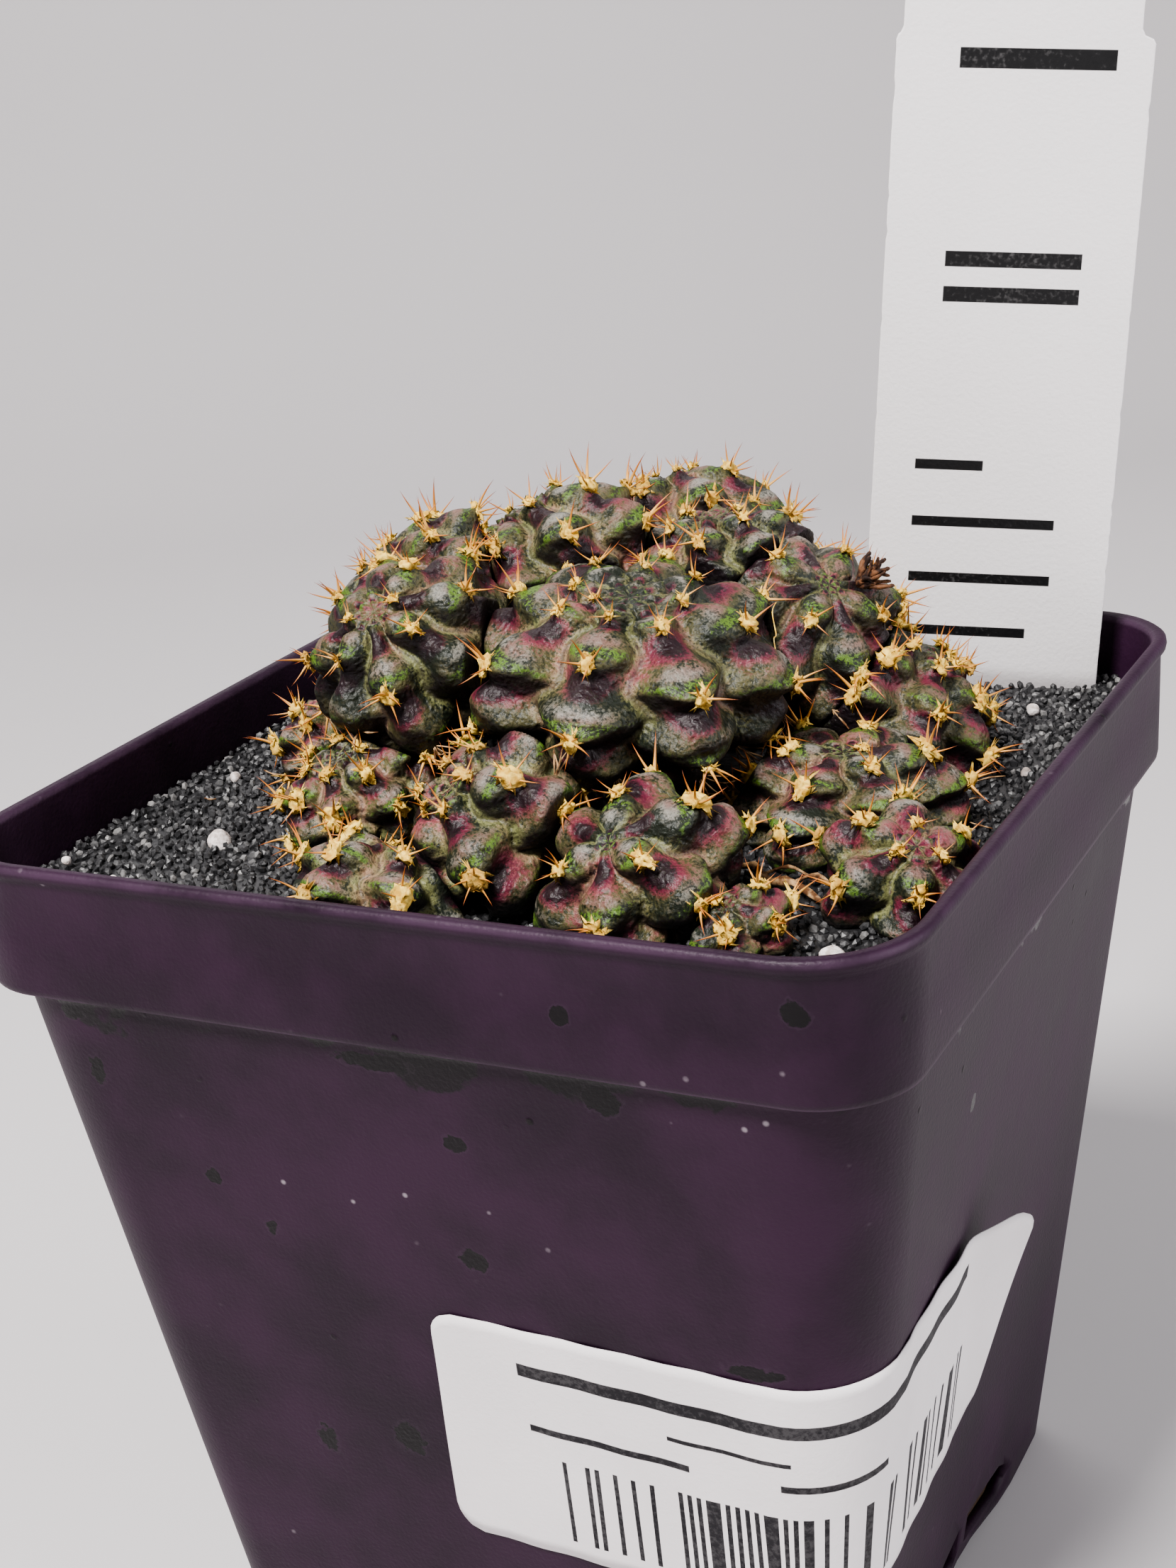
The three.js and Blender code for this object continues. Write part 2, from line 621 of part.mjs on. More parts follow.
// A spine grown out of one face: a small triangle inside the face becomes its foot, and three
// faces rise from it to the tip.
function growSpine(net, number, foot, tip) {
  const [a, b, c] = net.faces[number];
  const first = net.points.length;
  net.points.push(...foot, tip);
  const [d, e, f, top] = [first, first + 1, first + 2, first + 3];
  net.faces[number] = [a, b, e];
  net.faces.push([a, e, d], [b, c, f], [b, f, e], [c, a, d], [c, d, f]);
  net.faces.push([d, e, top], [e, f, top], [f, d, top]);
}

// Three spines round the tip of each chin, each from the face that looks its way. One that
// would come near another piece stands up straighter, or is left out.
function addSpines(head, net, placed) {
  const spot = (t, p) => ray(head, t, p).multiplyScalar(freeReach(head, t, p));
  for (const { vertex, theta, phi } of net.chins) {
    const chin = net.points[vertex];
    const round = spot(theta + 0.3, phi).sub(spot(theta - 0.3, phi)).normalize();
    const down = spot(theta, phi + 0.15).sub(spot(theta, phi - 0.3)).normalize();
    const normal = new THREE.Vector3().crossVectors(down, round).normalize();
    const around = net.faces.map((face, number) => ({ face, number }));
    const near = around.filter(({ face }) => face.includes(vertex));
    for (const turn of SPINE_TURNS) {
      const angle = radians(turn + 24 * (random() - 0.5));
      const length = SPINE.length * (0.85 + 0.3 * random());
      const splay = radians(SPINE.splay + 16 * (random() - 0.5));
      const flat = new THREE.Vector3()
        .addScaledVector(down, -Math.cos(angle))
        .addScaledVector(round, Math.sin(angle));
      const middle = ({ face }) =>
        face.reduce((sum, i) => sum.addScaledVector(net.points[i], 1 / 3), new THREE.Vector3());
      near.sort((a, b) => middle(b).sub(chin).normalize().dot(flat) - middle(a).sub(chin).normalize().dot(flat));
      const from = near.shift();
      if (!from) break;
      const corners = from.face.map((i) => net.points[i]);
      const root = chin.clone().multiplyScalar(0.46).addScaledVector(middle(from), 0.54);
      const edge = Math.max(...corners.map((p, i) => p.distanceTo(corners[(i + 1) % 3])));
      const share = Math.min(0.3, SPINE.foot / edge);
      const foot = corners.map((p) => root.clone().lerp(p, share));
      const up = new THREE.Triangle(...corners).getNormal(new THREE.Vector3());
      for (const bend of [1, 0.75, 0.5, 0.2]) {
        const direction = normal
          .clone()
          .multiplyScalar(Math.cos(splay * bend))
          .addScaledVector(flat, Math.sin(splay * bend));
        const tip = root.clone().addScaledVector(direction, length);
        const spine = { head, chin, start: root, end: tip };
        if (direction.dot(up) < 0.35 || !spineClear(spine, placed)) continue;
        growSpine(net, from.number, foot, tip);
        placed.push(spine);
        break;
      }
    }
  }
}

function headGeometry(head, placed) {
  const net = headNet(head);
  addSpines(head, net, placed);
  const geometry = indexed(net.points, net.faces.flat());
  if (head.name !== "stem_front") return geometry;
  const tall = ROOT.top - ROOT.bottom;
  const root = new THREE.CylinderGeometry(ROOT.radius, ROOT.radius * 0.8, tall, 12);
  root.rotateX(Math.PI / 2).translate(ROOT.x, ROOT.y, ROOT.bottom + tall / 2);
  return toGeometry(toSolid(geometry).add(toSolid(root)));
}

// The whole plant
const plant = new THREE.Group();

function addPiece(name, geometry, look) {
  const mesh = new THREE.Mesh(geometry, look);
  mesh.name = name;
  plant.add(mesh);
  return mesh;
}

addPiece("pot", potGeometry(), material(0x2a2028, 0.42));
addPiece("potting_mix", mixGeometry(), material(0x2b1d14, 0.95));
addPiece("sand_top_dressing", sandGeometry(), material(0x1d1b1c, 0.85));
addPiece("plant_tag", tagGeometry(0), material(0xf3f0ef, 0.45)).applyMatrix4(tagMatrix());
addPiece("sticker", stickerGeometry(), material(0xf6f1f0, 0.6));

const FLESH = [0x6f7d52, 0x8a5a55, 0x5f6b4a, 0x7a4a50, 0x77855c];
HEADS.forEach(headFrame);
pressHeads();
const placed = [];
HEADS.forEach((head, index) => {
  addPiece(head.name, headGeometry(head, placed), material(FLESH[index % FLESH.length], 0.55));
});

export default plant;
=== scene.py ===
import json
import math
import random

import bpy
import numpy as np
from mathutils import Matrix, Vector
from mathutils.bvhtree import BVHTree


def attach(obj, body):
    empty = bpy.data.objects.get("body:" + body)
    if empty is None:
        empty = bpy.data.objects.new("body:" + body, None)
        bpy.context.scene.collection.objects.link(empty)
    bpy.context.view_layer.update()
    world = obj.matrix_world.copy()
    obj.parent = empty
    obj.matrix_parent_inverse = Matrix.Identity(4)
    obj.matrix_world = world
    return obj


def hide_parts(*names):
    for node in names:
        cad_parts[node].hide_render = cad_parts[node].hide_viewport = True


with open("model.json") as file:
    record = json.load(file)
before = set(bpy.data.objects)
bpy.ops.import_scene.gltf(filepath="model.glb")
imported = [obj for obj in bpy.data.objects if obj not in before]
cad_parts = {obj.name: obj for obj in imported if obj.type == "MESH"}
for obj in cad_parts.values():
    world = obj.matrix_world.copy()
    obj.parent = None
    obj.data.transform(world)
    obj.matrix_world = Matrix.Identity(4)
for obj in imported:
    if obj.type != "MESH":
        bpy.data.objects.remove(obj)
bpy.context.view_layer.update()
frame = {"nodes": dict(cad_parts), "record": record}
MM = 0.001


# Camera. A phone held close over the pot's right front corner, a little above the plants and
# turned a few degrees out of level.
CAMERA_AT = Vector((105.257, -200.418, 173.899))
CAMERA_RIGHT = Vector((0.892858, 0.442042, -0.086048))
CAMERA_DOWN = Vector((0.080091, -0.343895, -0.935586))
CAMERA_FORWARD = Vector((-0.443160, 0.828453, -0.342453))
camera_data = bpy.data.cameras.new("camera")
camera_data.sensor_width = 36
camera_data.lens = 54.3
camera_data.clip_start = 0.01
camera = bpy.data.objects.new("camera", camera_data)
bpy.context.scene.collection.objects.link(camera)
turn = Matrix((CAMERA_RIGHT, -CAMERA_DOWN, -CAMERA_FORWARD)).transposed()
camera.matrix_world = Matrix.Translation(CAMERA_AT * MM) @ turn.to_4x4()
bpy.context.scene.camera = camera


# Pot. A thin square nursery pot, vacuum formed in near-black plastic, with a plum tint that is
# painted reflection of a magenta light: a tapered wall on four corner feet, drain slots in its
# foot, a step out to the rim band and a rolled bead round the top.
class Wire:
    """A socket of a node tree. Sums of wires and numbers add Math nodes to the same tree."""

    def __init__(self, tree, socket=None):
        self.tree = tree
        self.socket = socket

    def add(self, kind, inputs=None, out=0, stops=(), **settings):
        """Adds a node: its settings first, then the values or links of its sockets."""
        node = self.tree.nodes.new(kind)
        for name, value in settings.items():
            setattr(node, name, value)
        for number, (place, colour) in enumerate(stops):
            ramp = node.color_ramp.elements
            stop = ramp[number] if number < 2 else ramp.new(place)
            stop.position = place
            stop.color = (*colour, 1)
        for name, value in (inputs or {}).items():
            socket = node.inputs[name]
            if isinstance(value, Wire):
                self.tree.links.new(value.socket, socket)
            elif socket.type == "RGBA":
                socket.default_value = (*value, 1)
            else:
                socket.default_value = value
        return Wire(self.tree, node.outputs[out])

    def math(self, operation, *others):
        numbers = dict(enumerate((self, *others)))
        return self.add("ShaderNodeMath", numbers, operation=operation)

    def vector(self, operation, other=None):
        """Vector Math with another vector, with a number for SCALE, or alone for LENGTH."""
        inputs = {0: self}
        if other is not None:
            inputs["Scale" if operation == "SCALE" else 1] = other
        out = "Value" if operation == "LENGTH" else 0
        return self.add("ShaderNodeVectorMath", inputs, out, operation=operation)

    def mix(self, share, first, second):
        """Two colours mixed by a share of the second."""
        return self.add("ShaderNodeMix", {0: share, 6: first, 7: second}, 2, data_type="RGBA")

    def ramp(self, low, high):
        """0 up to low, 1 from high on, smooth between them."""
        sockets = {0: self, 1: low, 2: high}
        return self.add("ShaderNodeMapRange", sockets, interpolation_type="SMOOTHSTEP")

    def beside(self, middle, low, high):
        """1 within low of a middle, 0 from high off it."""
        return 1 - (self - middle).math("ABSOLUTE").ramp(low, high)

    def noise(self, scale, detail=2.0, roughness=0.5, out=0, **settings):
        sockets = {"Vector": self, "Scale": scale, "Detail": detail, "Roughness": roughness}
        return self.add("ShaderNodeTexNoise", sockets, out, **settings)

    def cells(self, scale):
        """How far each place is from the nearest of many scattered points."""
        return self.add("ShaderNodeTexVoronoi", {"Vector": self, "Scale": scale})

    def axis(self, number):
        """A vector's x, y or z."""
        return self.add("ShaderNodeSeparateXYZ", {0: self}, number)

    def attribute(self, name):
        """A number stored on the mesh, read in a material."""
        return self.add("ShaderNodeAttribute", out="Fac", attribute_name=name)

    def realized(self):
        return self.add("GeometryNodeRealizeInstances", {0: self})

    def __add__(self, other):
        return self.math("ADD", other)

    __radd__ = __add__

    def __mul__(self, other):
        return self.math("MULTIPLY", other)

    __rmul__ = __mul__

    def __sub__(self, other):
        return self.math("SUBTRACT", other)

    def __rsub__(self, other):
        return self.add("ShaderNodeMath", {0: other, 1: self}, operation="SUBTRACT")

    def __truediv__(self, other):
        return self.math("DIVIDE", other)

    def __pow__(self, other):
        return self.math("POWER", other)


def new_finish(name, **constants):
    """A material with one Principled shader. Returns it, its object coordinates and the shader."""
    finish = bpy.data.materials.new(name)
    finish.use_nodes = True
    shader = finish.node_tree.nodes["Principled BSDF"]
    for socket, value in constants.items():
        shader.inputs[socket.replace("_", " ")].default_value = value
    return finish, Wire(finish.node_tree).add("ShaderNodeTexCoord", out="Object"), shader


def layered(base, *layers):
    """Colours laid over a base one after another, each by its share."""
    for share, colour in layers:
        base = share.mix(share, base, colour)
    return base


def feed(shader, **wires):
    """Links wires to the shader's sockets; height goes through a Bump node to Normal."""
    tree = shader.id_data
    if "height" in wires:
        height, distance = wires.pop("height")
        bump = height.add("ShaderNodeBump", {"Height": height, "Distance": distance, "Strength": 1.0})
        tree.links.new(bump.socket, shader.inputs["Normal"])
    for name, wire in wires.items():
        tree.links.new(wire.socket, shader.inputs[name.replace("_", " ")])


def add_piece(name, points, faces, finish):
    """A mesh object from points in millimetres."""
    mesh = bpy.data.meshes.new(name)
    mesh.from_pydata([Vector(p) * MM for p in points], [], faces)
    mesh.update()
    piece = bpy.data.objects.new(name, mesh)
    bpy.context.scene.collection.objects.link(piece)
    mesh.materials.append(finish)
    mesh.polygons.foreach_set("use_smooth", [True] * len(mesh.polygons))
    return piece


def taken_plain(piece):
    """Turns what the modifiers make into the object's own mesh and removes them."""
    graph = bpy.context.evaluated_depsgraph_get()
    made = bpy.data.meshes.new_from_object(piece.evaluated_get(graph), depsgraph=graph)
    piece.modifiers.clear()
    piece.data = made
    return piece


# The wall between its foot and the band, straight in height, bowed in a little between corners
WALL_FOOT_Z, WALL_RISE, WALL_BOW = 0.8, 83, 0.5
FOOT_HALF, HALF_GAIN = 34.35, 11.15
FOOT_CORNER, CORNER_GAIN = 5.5, 5.6
WALL_THICK = 1.2
ARCH_RISE, ARCH_FADE_Z = 3.9, 12
CORNER_STEPS, SIDE_STEPS = 14, 12
BAND_Z, BEAD_Z = 84, 97.1  # the step out to the rim band, and the bead's worn edge
# Half the width and the corner radius of the underside and of the floor inside, and the shares
# of them at which rings of points lie on both
UNDERSIDE, FLOOR, FLOOR_Z = (33.5, 5.0), (33.3, 4.4), 1.6
BOTTOM_RINGS = (0.3, 0.55, 0.78, 0.93)


def wall_half(z):
    return FOOT_HALF + (z - WALL_FOOT_Z) * HALF_GAIN / WALL_RISE


def wall_corner(z):
    return FOOT_CORNER + (z - WALL_FOOT_Z) * CORNER_GAIN / WALL_RISE


def arch_rise(x):
    """How high the foot's edge stands off the ground at a place along a side."""
    return float(np.interp(abs(x), [0, 6, 13, 20], [ARCH_RISE, ARCH_RISE - 0.7, 1.1, 0]))


def square_ring(z, half, corner, bow=0.0):
    """A rounded square; bow pulls the middles of the four sides in."""
    ring = []
    for quarter in range(4):
        start = math.radians(90 * quarter)
        side = Matrix.Rotation(start, 2)
        middle = side @ Vector((half - corner, half - corner))
        for step in range(CORNER_STEPS + 1):
            angle = start + math.radians(90 * step / CORNER_STEPS)
            ring.append((middle.x + corner * math.cos(angle), middle.y + corner * math.sin(angle), z))
        for step in range(1, SIDE_STEPS):
            along = (half - corner) * (1 - 2 * step / SIDE_STEPS)
            across = half - bow * (1 - (along / (half - corner)) ** 2)
            point = side @ Vector((along, across))
            ring.append((point.x, point.y, z))
    return ring


def bowed_ring(z, half, corner):
    return square_ring(z, half, corner, WALL_BOW * math.sin(math.pi * min(z, WALL_RISE) / WALL_RISE))


def tube_faces(levels, count, capped=True):
    """Quads between rings of points that follow each other, and a face on each end."""
    faces = []
    for level in range(levels - 1):
        for i in range(count):
            a, b = level * count + i, level * count + (i + 1) % count
            faces.append((a, b, b + count, a + count))
    if capped:
        last = (levels - 1) * count
        faces += [tuple(range(count - 1, -1, -1)), tuple(range(last, last + count))]
    return faces


def loft(rings, name, finish):
    """A closed skin over rings, with a point in the middle of each end."""
    count = len(rings[0])
    points = [p for ring in rings for p in ring]
    faces = tube_faces(len(rings), count, capped=False)
    for ring in (0, len(rings) - 1):
        end = rings[ring]
        points.append(tuple(sum(p[k] for p in end) / count for k in range(3)))
        for i in range(count):
            a, b = ring * count + i, ring * count + (i + 1) % count
            faces.append((len(points) - 1, b, a) if ring == 0 else (len(points) - 1, a, b))
    return add_piece(name, points, faces, finish)


# Drops, dried or still wet, on the two faces, and two crumbs of soil beside the sticker: the
# middle, half the width and half the height of each
DROPS = [
    ((18.6, -47.1, 89.8), 0.8, 0.9),
    ((39.6, -47.2, 92.6), 1.1, 1.0),
    ((5.2, -44.2, 74.0), 1.2, 0.9),
    ((4.6, -42.4, 60.8), 1.5, 1.1),
    ((-23.1, -43.0, 65.1), 0.9, 0.9),
    ((-17.6, -42.3, 60.1), 0.8, 0.9),
    ((-17.5, -38.8, 34.0), 1.1, 1.8),
    ((-7.4, -39.1, 36.6), 1.6, 1.9),
    ((-33.5, -44.4, 75.8), 0.9, 1.7),
    ((-34.8, -45.3, 82.0), 1.2, 0.8),
    ((31.2, -41.5, 54.4), 2.4, 0.8),
    ((21.0, -45.2, 81.2), 1.5, 1.3),
    ((-2.0, -45.2, 81.6), 3.4, 0.9),
    ((41.4, -45.3, 81.4), 1.4, 1.2),
    ((43.6, -16.5, 69.9), 0.6, 0.9),
    ((38.0, -7.1, 28.0), 0.6, 0.8),
]
# Near-black plastic in two plum tones; the plum is painted reflection of a magenta light.
REFLECTED_PLUM_DARK, REFLECTED_PLUM = (0.0125, 0.0040, 0.0125), (0.0300, 0.0098, 0.0285)
plastic, place, shader = new_finish("pot plastic", Specular_IOR_Level=0.24, IOR=1.49)
pot_height = place.axis(2) * 1000
cloud = place.noise(60, 6, 0.6)
speck = place.cells(260)
drip = place.noise(130, 4, 0.6)
grain = place.noise(2400, 3)
ragged = place.noise(900, 3, 0.6)
drop_edge = None
for middle, wide, high in DROPS:
    away = place.vector("SUBTRACT", Vector(middle) * MM)
    away = away.vector("MULTIPLY", (1000 / wide, 1000 / wide, 1000 / high)).vector("LENGTH")
    drop_edge = drop_edge.math("MINIMUM", away) if drop_edge else away
drop_edge = drop_edge + (ragged - 0.5) * 1.6 + (drip - 0.5) * 1.2
drop = 1 - drop_edge.ramp(0.90, 1.10)
drop_rim = drop_edge.beside(1.15, 0.0, 0.16)
# Water hangs in runs under the band. The edges of the band and the bead are painted paler in patches:
# painted highlight.
wet_reach = (BAND_Z - pot_height) * 0.08 + (drip - 0.5) * 1.6
wet = (1 - wet_reach.ramp(0.02, 0.10)) * (BAND_Z - 0.1 - pot_height).ramp(0, 0.2)
dust = (1 - speck.ramp(0.03, 0.10)) * cloud.ramp(0.50, 0.66)
crumbs = (1 - speck.ramp(0.04, 0.12)) * (1 - cloud.ramp(0.36, 0.44))
# Painted highlight: a pale line, in patches, along the band's lower edge and round the bead.
band_edge_highlight = pot_height.beside(BAND_Z - 0.05, 0.08, 0.34)
bead_highlight = pot_height.beside(BEAD_Z, 0.10, 0.45)
edges = band_edge_highlight.math("MAXIMUM", bead_highlight * 0.6) * cloud.ramp(0.30, 0.56)
feed(
    shader,
    Base_Color=layered(
        place.mix(cloud.ramp(0.3, 0.7), REFLECTED_PLUM_DARK, REFLECTED_PLUM),
        (drop.math("MAXIMUM", wet * 0.9) * 0.94, (0.001, 0.0006, 0.001)),
        # the painted highlight on the band's edge and the bead
        (edges * 0.45, (0.12, 0.075, 0.12)),
        (drop_rim * 0.05, (0.15, 0.11, 0.15)),
        (crumbs * 0.9, (0.004, 0.003, 0.003)),
        (dust * 0.7, (0.34, 0.30, 0.33)),
    ),
    Roughness=0.42 + 0.16 * cloud - 0.3 * drop - 0.25 * wet + 0.3 * dust,
    height=(grain * 0.35 + cloud * 0.65 + crumbs * 0.8, 0.00016),
)

# Height, half the width and corner radius, up the outside and down the inside
POT_OUTSIDE = [
    (0, *UNDERSIDE),
    (0.25, 33.9, 5.3),
    (WALL_FOOT_Z, FOOT_HALF, FOOT_CORNER),
    *[(z, wall_half(z), wall_corner(z)) for z in (4, 8, 14, 22, 30, 40, 50, 60, 70, 78, 82.6)],
    (83.5, 45.5, 11.0),
    (83.75, 45.75, 10.6),
    (83.8, 46.4, 9.4),
    (84.0, 46.8, 8.9),
    (84.6, 46.92, 8.95),
    (90, 47.15, 9.5),
    (95.6, 47.38, 10.1),
    (96.05, 47.55, 10.25),
    (96.35, 47.9, 10.6),
    (96.8, 48.0, 10.7),
    (97.25, 47.92, 10.6),
    (97.5, 47.6, 10.3),
]
POT_INSIDE = [
    (97.5, 46.95, 9.9),
    (97.3, 46.6, 9.7),
    (96.8, 46.42, 9.6),
    (90, 46.0, 9.5),
    (84.4, 45.72, 9.4),
    (82.6, 44.2, 9.8),
    *[(z, wall_half(z) - WALL_THICK, wall_corner(z) - 1.1) for z in (60, 40, 20, 8, 3)],
    (FLOOR_Z, wall_half(FLOOR_Z) - WALL_THICK, FLOOR[1]),
]
rings = [square_ring(0, *(size * part for size in UNDERSIDE)) for part in BOTTOM_RINGS]
rings += [bowed_ring(*level) for level in POT_OUTSIDE + POT_INSIDE]
rings += [square_ring(FLOOR_Z, *(size * part for size in FLOOR)) for part in reversed(BOTTOM_RINGS)]
for ring in rings:
    for i, (x, y, z) in enumerate(ring):
        if z < ARCH_FADE_Z:
            lift = max(arch_rise(x), arch_rise(y))
            ring[i] = (x, y, lift + z * (1 - lift / ARCH_FADE_Z))
pot = loft(rings, "nursery_pot", plastic)

# Round one drain slot, along the foot and up. Each side has two, mirrored about its middle.
DRAIN_SLOT = [(1.5, 5.9), (7, 5.1), (13, 4), (15.5, 4.7), (15.5, 6.4), (13, 7.8), (7, 8.9), (1.5, 9.7)]
CUTTER_ENDS = (30.0, 39.0)
cutters = []
for quarter in range(4):
    for side in (1, -1):
        outline = [(side * y, z) for y, z in DRAIN_SLOT][::side]
        points = [(x, y, z) for x in CUTTER_ENDS for y, z in outline]
        cutter = add_piece("slot_cutter", points, tube_faces(2, len(outline)), plastic)
        cutter.data.transform(Matrix.Rotation(math.radians(90 * quarter), 4, "Z"))
        cutters.append(cutter)
        cut = pot.modifiers.new("slot", "BOOLEAN")
        cut.object = cutter
        cut.solver = "EXACT"
taken_plain(pot)
for cutter in cutters:
    bpy.data.objects.remove(cutter)
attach(pot, "root")
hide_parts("pot")


# Sticker. A white paper label with rounded corners. It starts on the front face, goes round the
# corner, and its glue has let go at the far upper corner, which is folded off the wall along a
# slanting line. It carries plain rules and a row of bars in a random order.
STICKER_END_Y, STICKER_TOP_Z, STICKER_BOTTOM_Z = -5.5, 54, 26.7
FRONT_END_X, RIGHT_START_Y = 33.4, -30.4  # where it leaves the front face and meets the right
START_X, START_SLANT = -3.4, 1.3  # its first edge at the bottom, and how much further the top is
STICKER_CORNER = 3
LOW_EDGE_CLIMB, LOW_EDGE_SAG, TOP_EDGE_SAG = 1.8, 1.2, 0.8
PAPER_GAP, PAPER_THICK = 0.1, 0.14
OFF_WALL = 1.009  # in the level, for each millimetre square to the leaning wall
FOLD_Y, FOLD_SLANT, FOLD_RISE, FOLD_ROUNDING = -13, 0.27, 0.59, 0.7
ROWS = 22


def on_wall(face, along, z, off):
    """A point off the pot's wall: on the front at an x, on the right at a y, or round the corner."""
    half, corner = wall_half(z), wall_corner(z)
    middle = half - corner
    off *= OFF_WALL
    if face == "corner":
        x = middle + (corner + off) * math.sin(along)
        return (x, -middle - (corner + off) * math.cos(along), z)
    half += off - WALL_BOW * math.sin(math.pi * z / WALL_RISE) * (1 - min(1, abs(along) / middle) ** 2)
    return (along, -half, z) if face == "front" else (half, along, z)


def eased(x, low, high):
    share = min(1, max(0, (x - low) / (high - low)))
    return share * share * (3 - 2 * share)


def paper_lift(face, along, z, part):
    """How far the paper stands off its place: slight waves, the fold and the loose upper edge."""
    lift = 0.08 * math.sin(along * 0.9 + part * 5) * (face != "corner")
    if face == "right":
        beyond = along - FOLD_Y - FOLD_SLANT * (STICKER_TOP_Z - z)
        lift += FOLD_RISE * (beyond + math.hypot(beyond, FOLD_ROUNDING)) / 2
        lift += 0.5 * eased(along, -26, -15) * part
    return lift


def grid_faces(columns, rows):
    """Quads between points that come column by column."""
    starts = [i * rows + j for i in range(columns - 1) for j in range(rows - 1)]
    return [(a, a + rows, a + rows + 1, a + 1) for a in starts]


def grid_edge(columns, rows):
    """The points round such a grid, in order."""
    edge = [i * rows for i in range(columns - 1)]
    edge += [(columns - 1) * rows + j for j in range(rows - 1)]
    edge += [i * rows + rows - 1 for i in range(columns - 1, 0, -1)]
    return edge + list(range(rows - 1, 0, -1))


# Columns of points along the label, closer together in its rounded corners
columns = [("front", FRONT_END_X * (i / 26)) for i in range(27)]
columns += [("corner", math.radians(7.5 * i)) for i in range(1, 12)]
columns += [("right", RIGHT_START_Y + (STICKER_END_Y - RIGHT_START_Y) * i / 30) for i in range(31)]
columns[1:1] = [("front", a) for a in (0.15, 0.5, 0.9)]
columns[-1:-1] = [("right", STICKER_END_Y - a) for a in (0.5, 0.15)]
outer, inner, places = [], [], []
along_label = 0.0
previous = None
for number, (face, along) in enumerate(columns):
    share = number / (len(columns) - 1)
    from_end = along if face == "front" else STICKER_END_Y - along if face == "right" else 99
    inset = 0
    if from_end < STICKER_CORNER:
        inset = STICKER_CORNER - math.sqrt(STICKER_CORNER**2 - (STICKER_CORNER - from_end) ** 2)
    sag = math.sin(math.pi * share)
    bottom = STICKER_BOTTOM_Z + LOW_EDGE_CLIMB * share**3 - LOW_EDGE_SAG * sag + inset
    top = STICKER_TOP_Z - TOP_EDGE_SAG * sag - inset
    for row in range(ROWS):
        part = row / (ROWS - 1)
        z = bottom + (top - bottom) * part
        at = along if face != "front" else along + START_X + START_SLANT * part
        off = PAPER_GAP + paper_lift(face, along, z, part)
        inner.append(on_wall(face, at, z, off))
        outer.append(on_wall(face, at, z, off + PAPER_THICK))
        places.append([0, z - bottom + inset])
    halfway = outer[ROWS // 2 - ROWS]
    along_label += math.dist(halfway, previous or halfway)
    previous = halfway
    for place_on_label in places[-ROWS:]:
        place_on_label[0] = along_label
count = len(outer)
faces = []
for a, b, c, d in grid_faces(len(columns), ROWS):
    faces += [(a, b, c, d), (count + a, count + d, count + c, count + b)]
edge = grid_edge(len(columns), ROWS)
for a, b in zip(edge, edge[1:] + edge[:1]):
    faces.append((a, count + a, count + b, b))


def printed(across, up, rules):
    """1 inside any of the rules: left, right, middle height and thickness in millimetres."""
    ink = None
    for left, right, middle, thick in rules:
        inside = (across - left).ramp(-0.05, 0.05) * (right - across).ramp(-0.05, 0.05)
        inside = inside * (thick / 2 - (up - middle).math("ABSOLUTE")).ramp(-0.05, 0.05)
        ink = ink.math("MAXIMUM", inside) if ink else inside
    return ink


LABEL_RULES = [(9, 66, 22.6, 1.5), (24, 36, 18.7, 0.5), (9.5, 26, 15.6, 0.8), (35, 46, 15.9, 0.8)]
LABEL_BARS = (12.5, 69, 7.2, 10.2)
STRIPE, BAR_SEED = 0.48, 17
paper, place, shader = new_finish("label paper", Specular_IOR_Level=0.3)
label = place.add("ShaderNodeUVMap", uv_map="label")
across_label, up_label = label.axis(0), label.axis(1)
stripe = (across_label / STRIPE).math("FLOOR")
dark_stripe = stripe.add("ShaderNodeTexWhiteNoise", {"W": stripe + BAR_SEED}, noise_dimensions="1D")
white_stripe = (stripe / 4).math("FRACT").math("LESS_THAN", 0.2)
bars = dark_stripe.math("GREATER_THAN", 0.42) * (1 - white_stripe)
bars = bars * printed(across_label, up_label, [LABEL_BARS])
rules = printed(across_label, up_label, LABEL_RULES)
fibre = place.noise(1800, 4, 0.7)
cloud = place.noise(90, 4)
worn = (fibre + cloud * 0.4).ramp(0.60, 0.85) * 0.06
feed(
    shader,
    Base_Color=layered(
        place.mix(cloud, (0.70, 0.67, 0.68), (0.82, 0.79, 0.80)),
        (rules.math("MAXIMUM", bars) * (1 - worn), (0.006, 0.005, 0.008)),
    ),
    Roughness=0.5 + 0.2 * fibre,
    height=(fibre, 0.00005),
)
sticker = add_piece("paper_sticker", outer + inner, faces, paper)
label_map = sticker.data.uv_layers.new(name="label")
for loop in sticker.data.loops:
    label_map.data[loop.index].uv = places[loop.vertex_index % count]
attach(sticker, "root")
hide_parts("sticker")


# Potting mix. Bark and peat under the grit, seen only through the drain slots, so the solid
# from the frame stays and gets its own finish.
mix_finish, place, shader = new_finish("potting mix", Roughness=0.95)
tone = place.noise(160, 5)
feed(
    shader,
    Base_Color=place.mix(tone, (0.022, 0.012, 0.007), (0.11, 0.06, 0.03)),
    height=(place.cells(420), 0.001),
)
mix = frame["nodes"]["potting_mix"]
mix.data.materials.clear()
mix.data.materials.append(mix_finish)


# Plant tag. A flat strip of white plastic, one inch wide, with a narrower top. It is pushed into
# the soil behind the clump and leans a little. Plain rules stand where it was printed.
TAG_BASE = np.array([27.5, 37.4, 91.5])
TAG_THICKNESS = 0.6
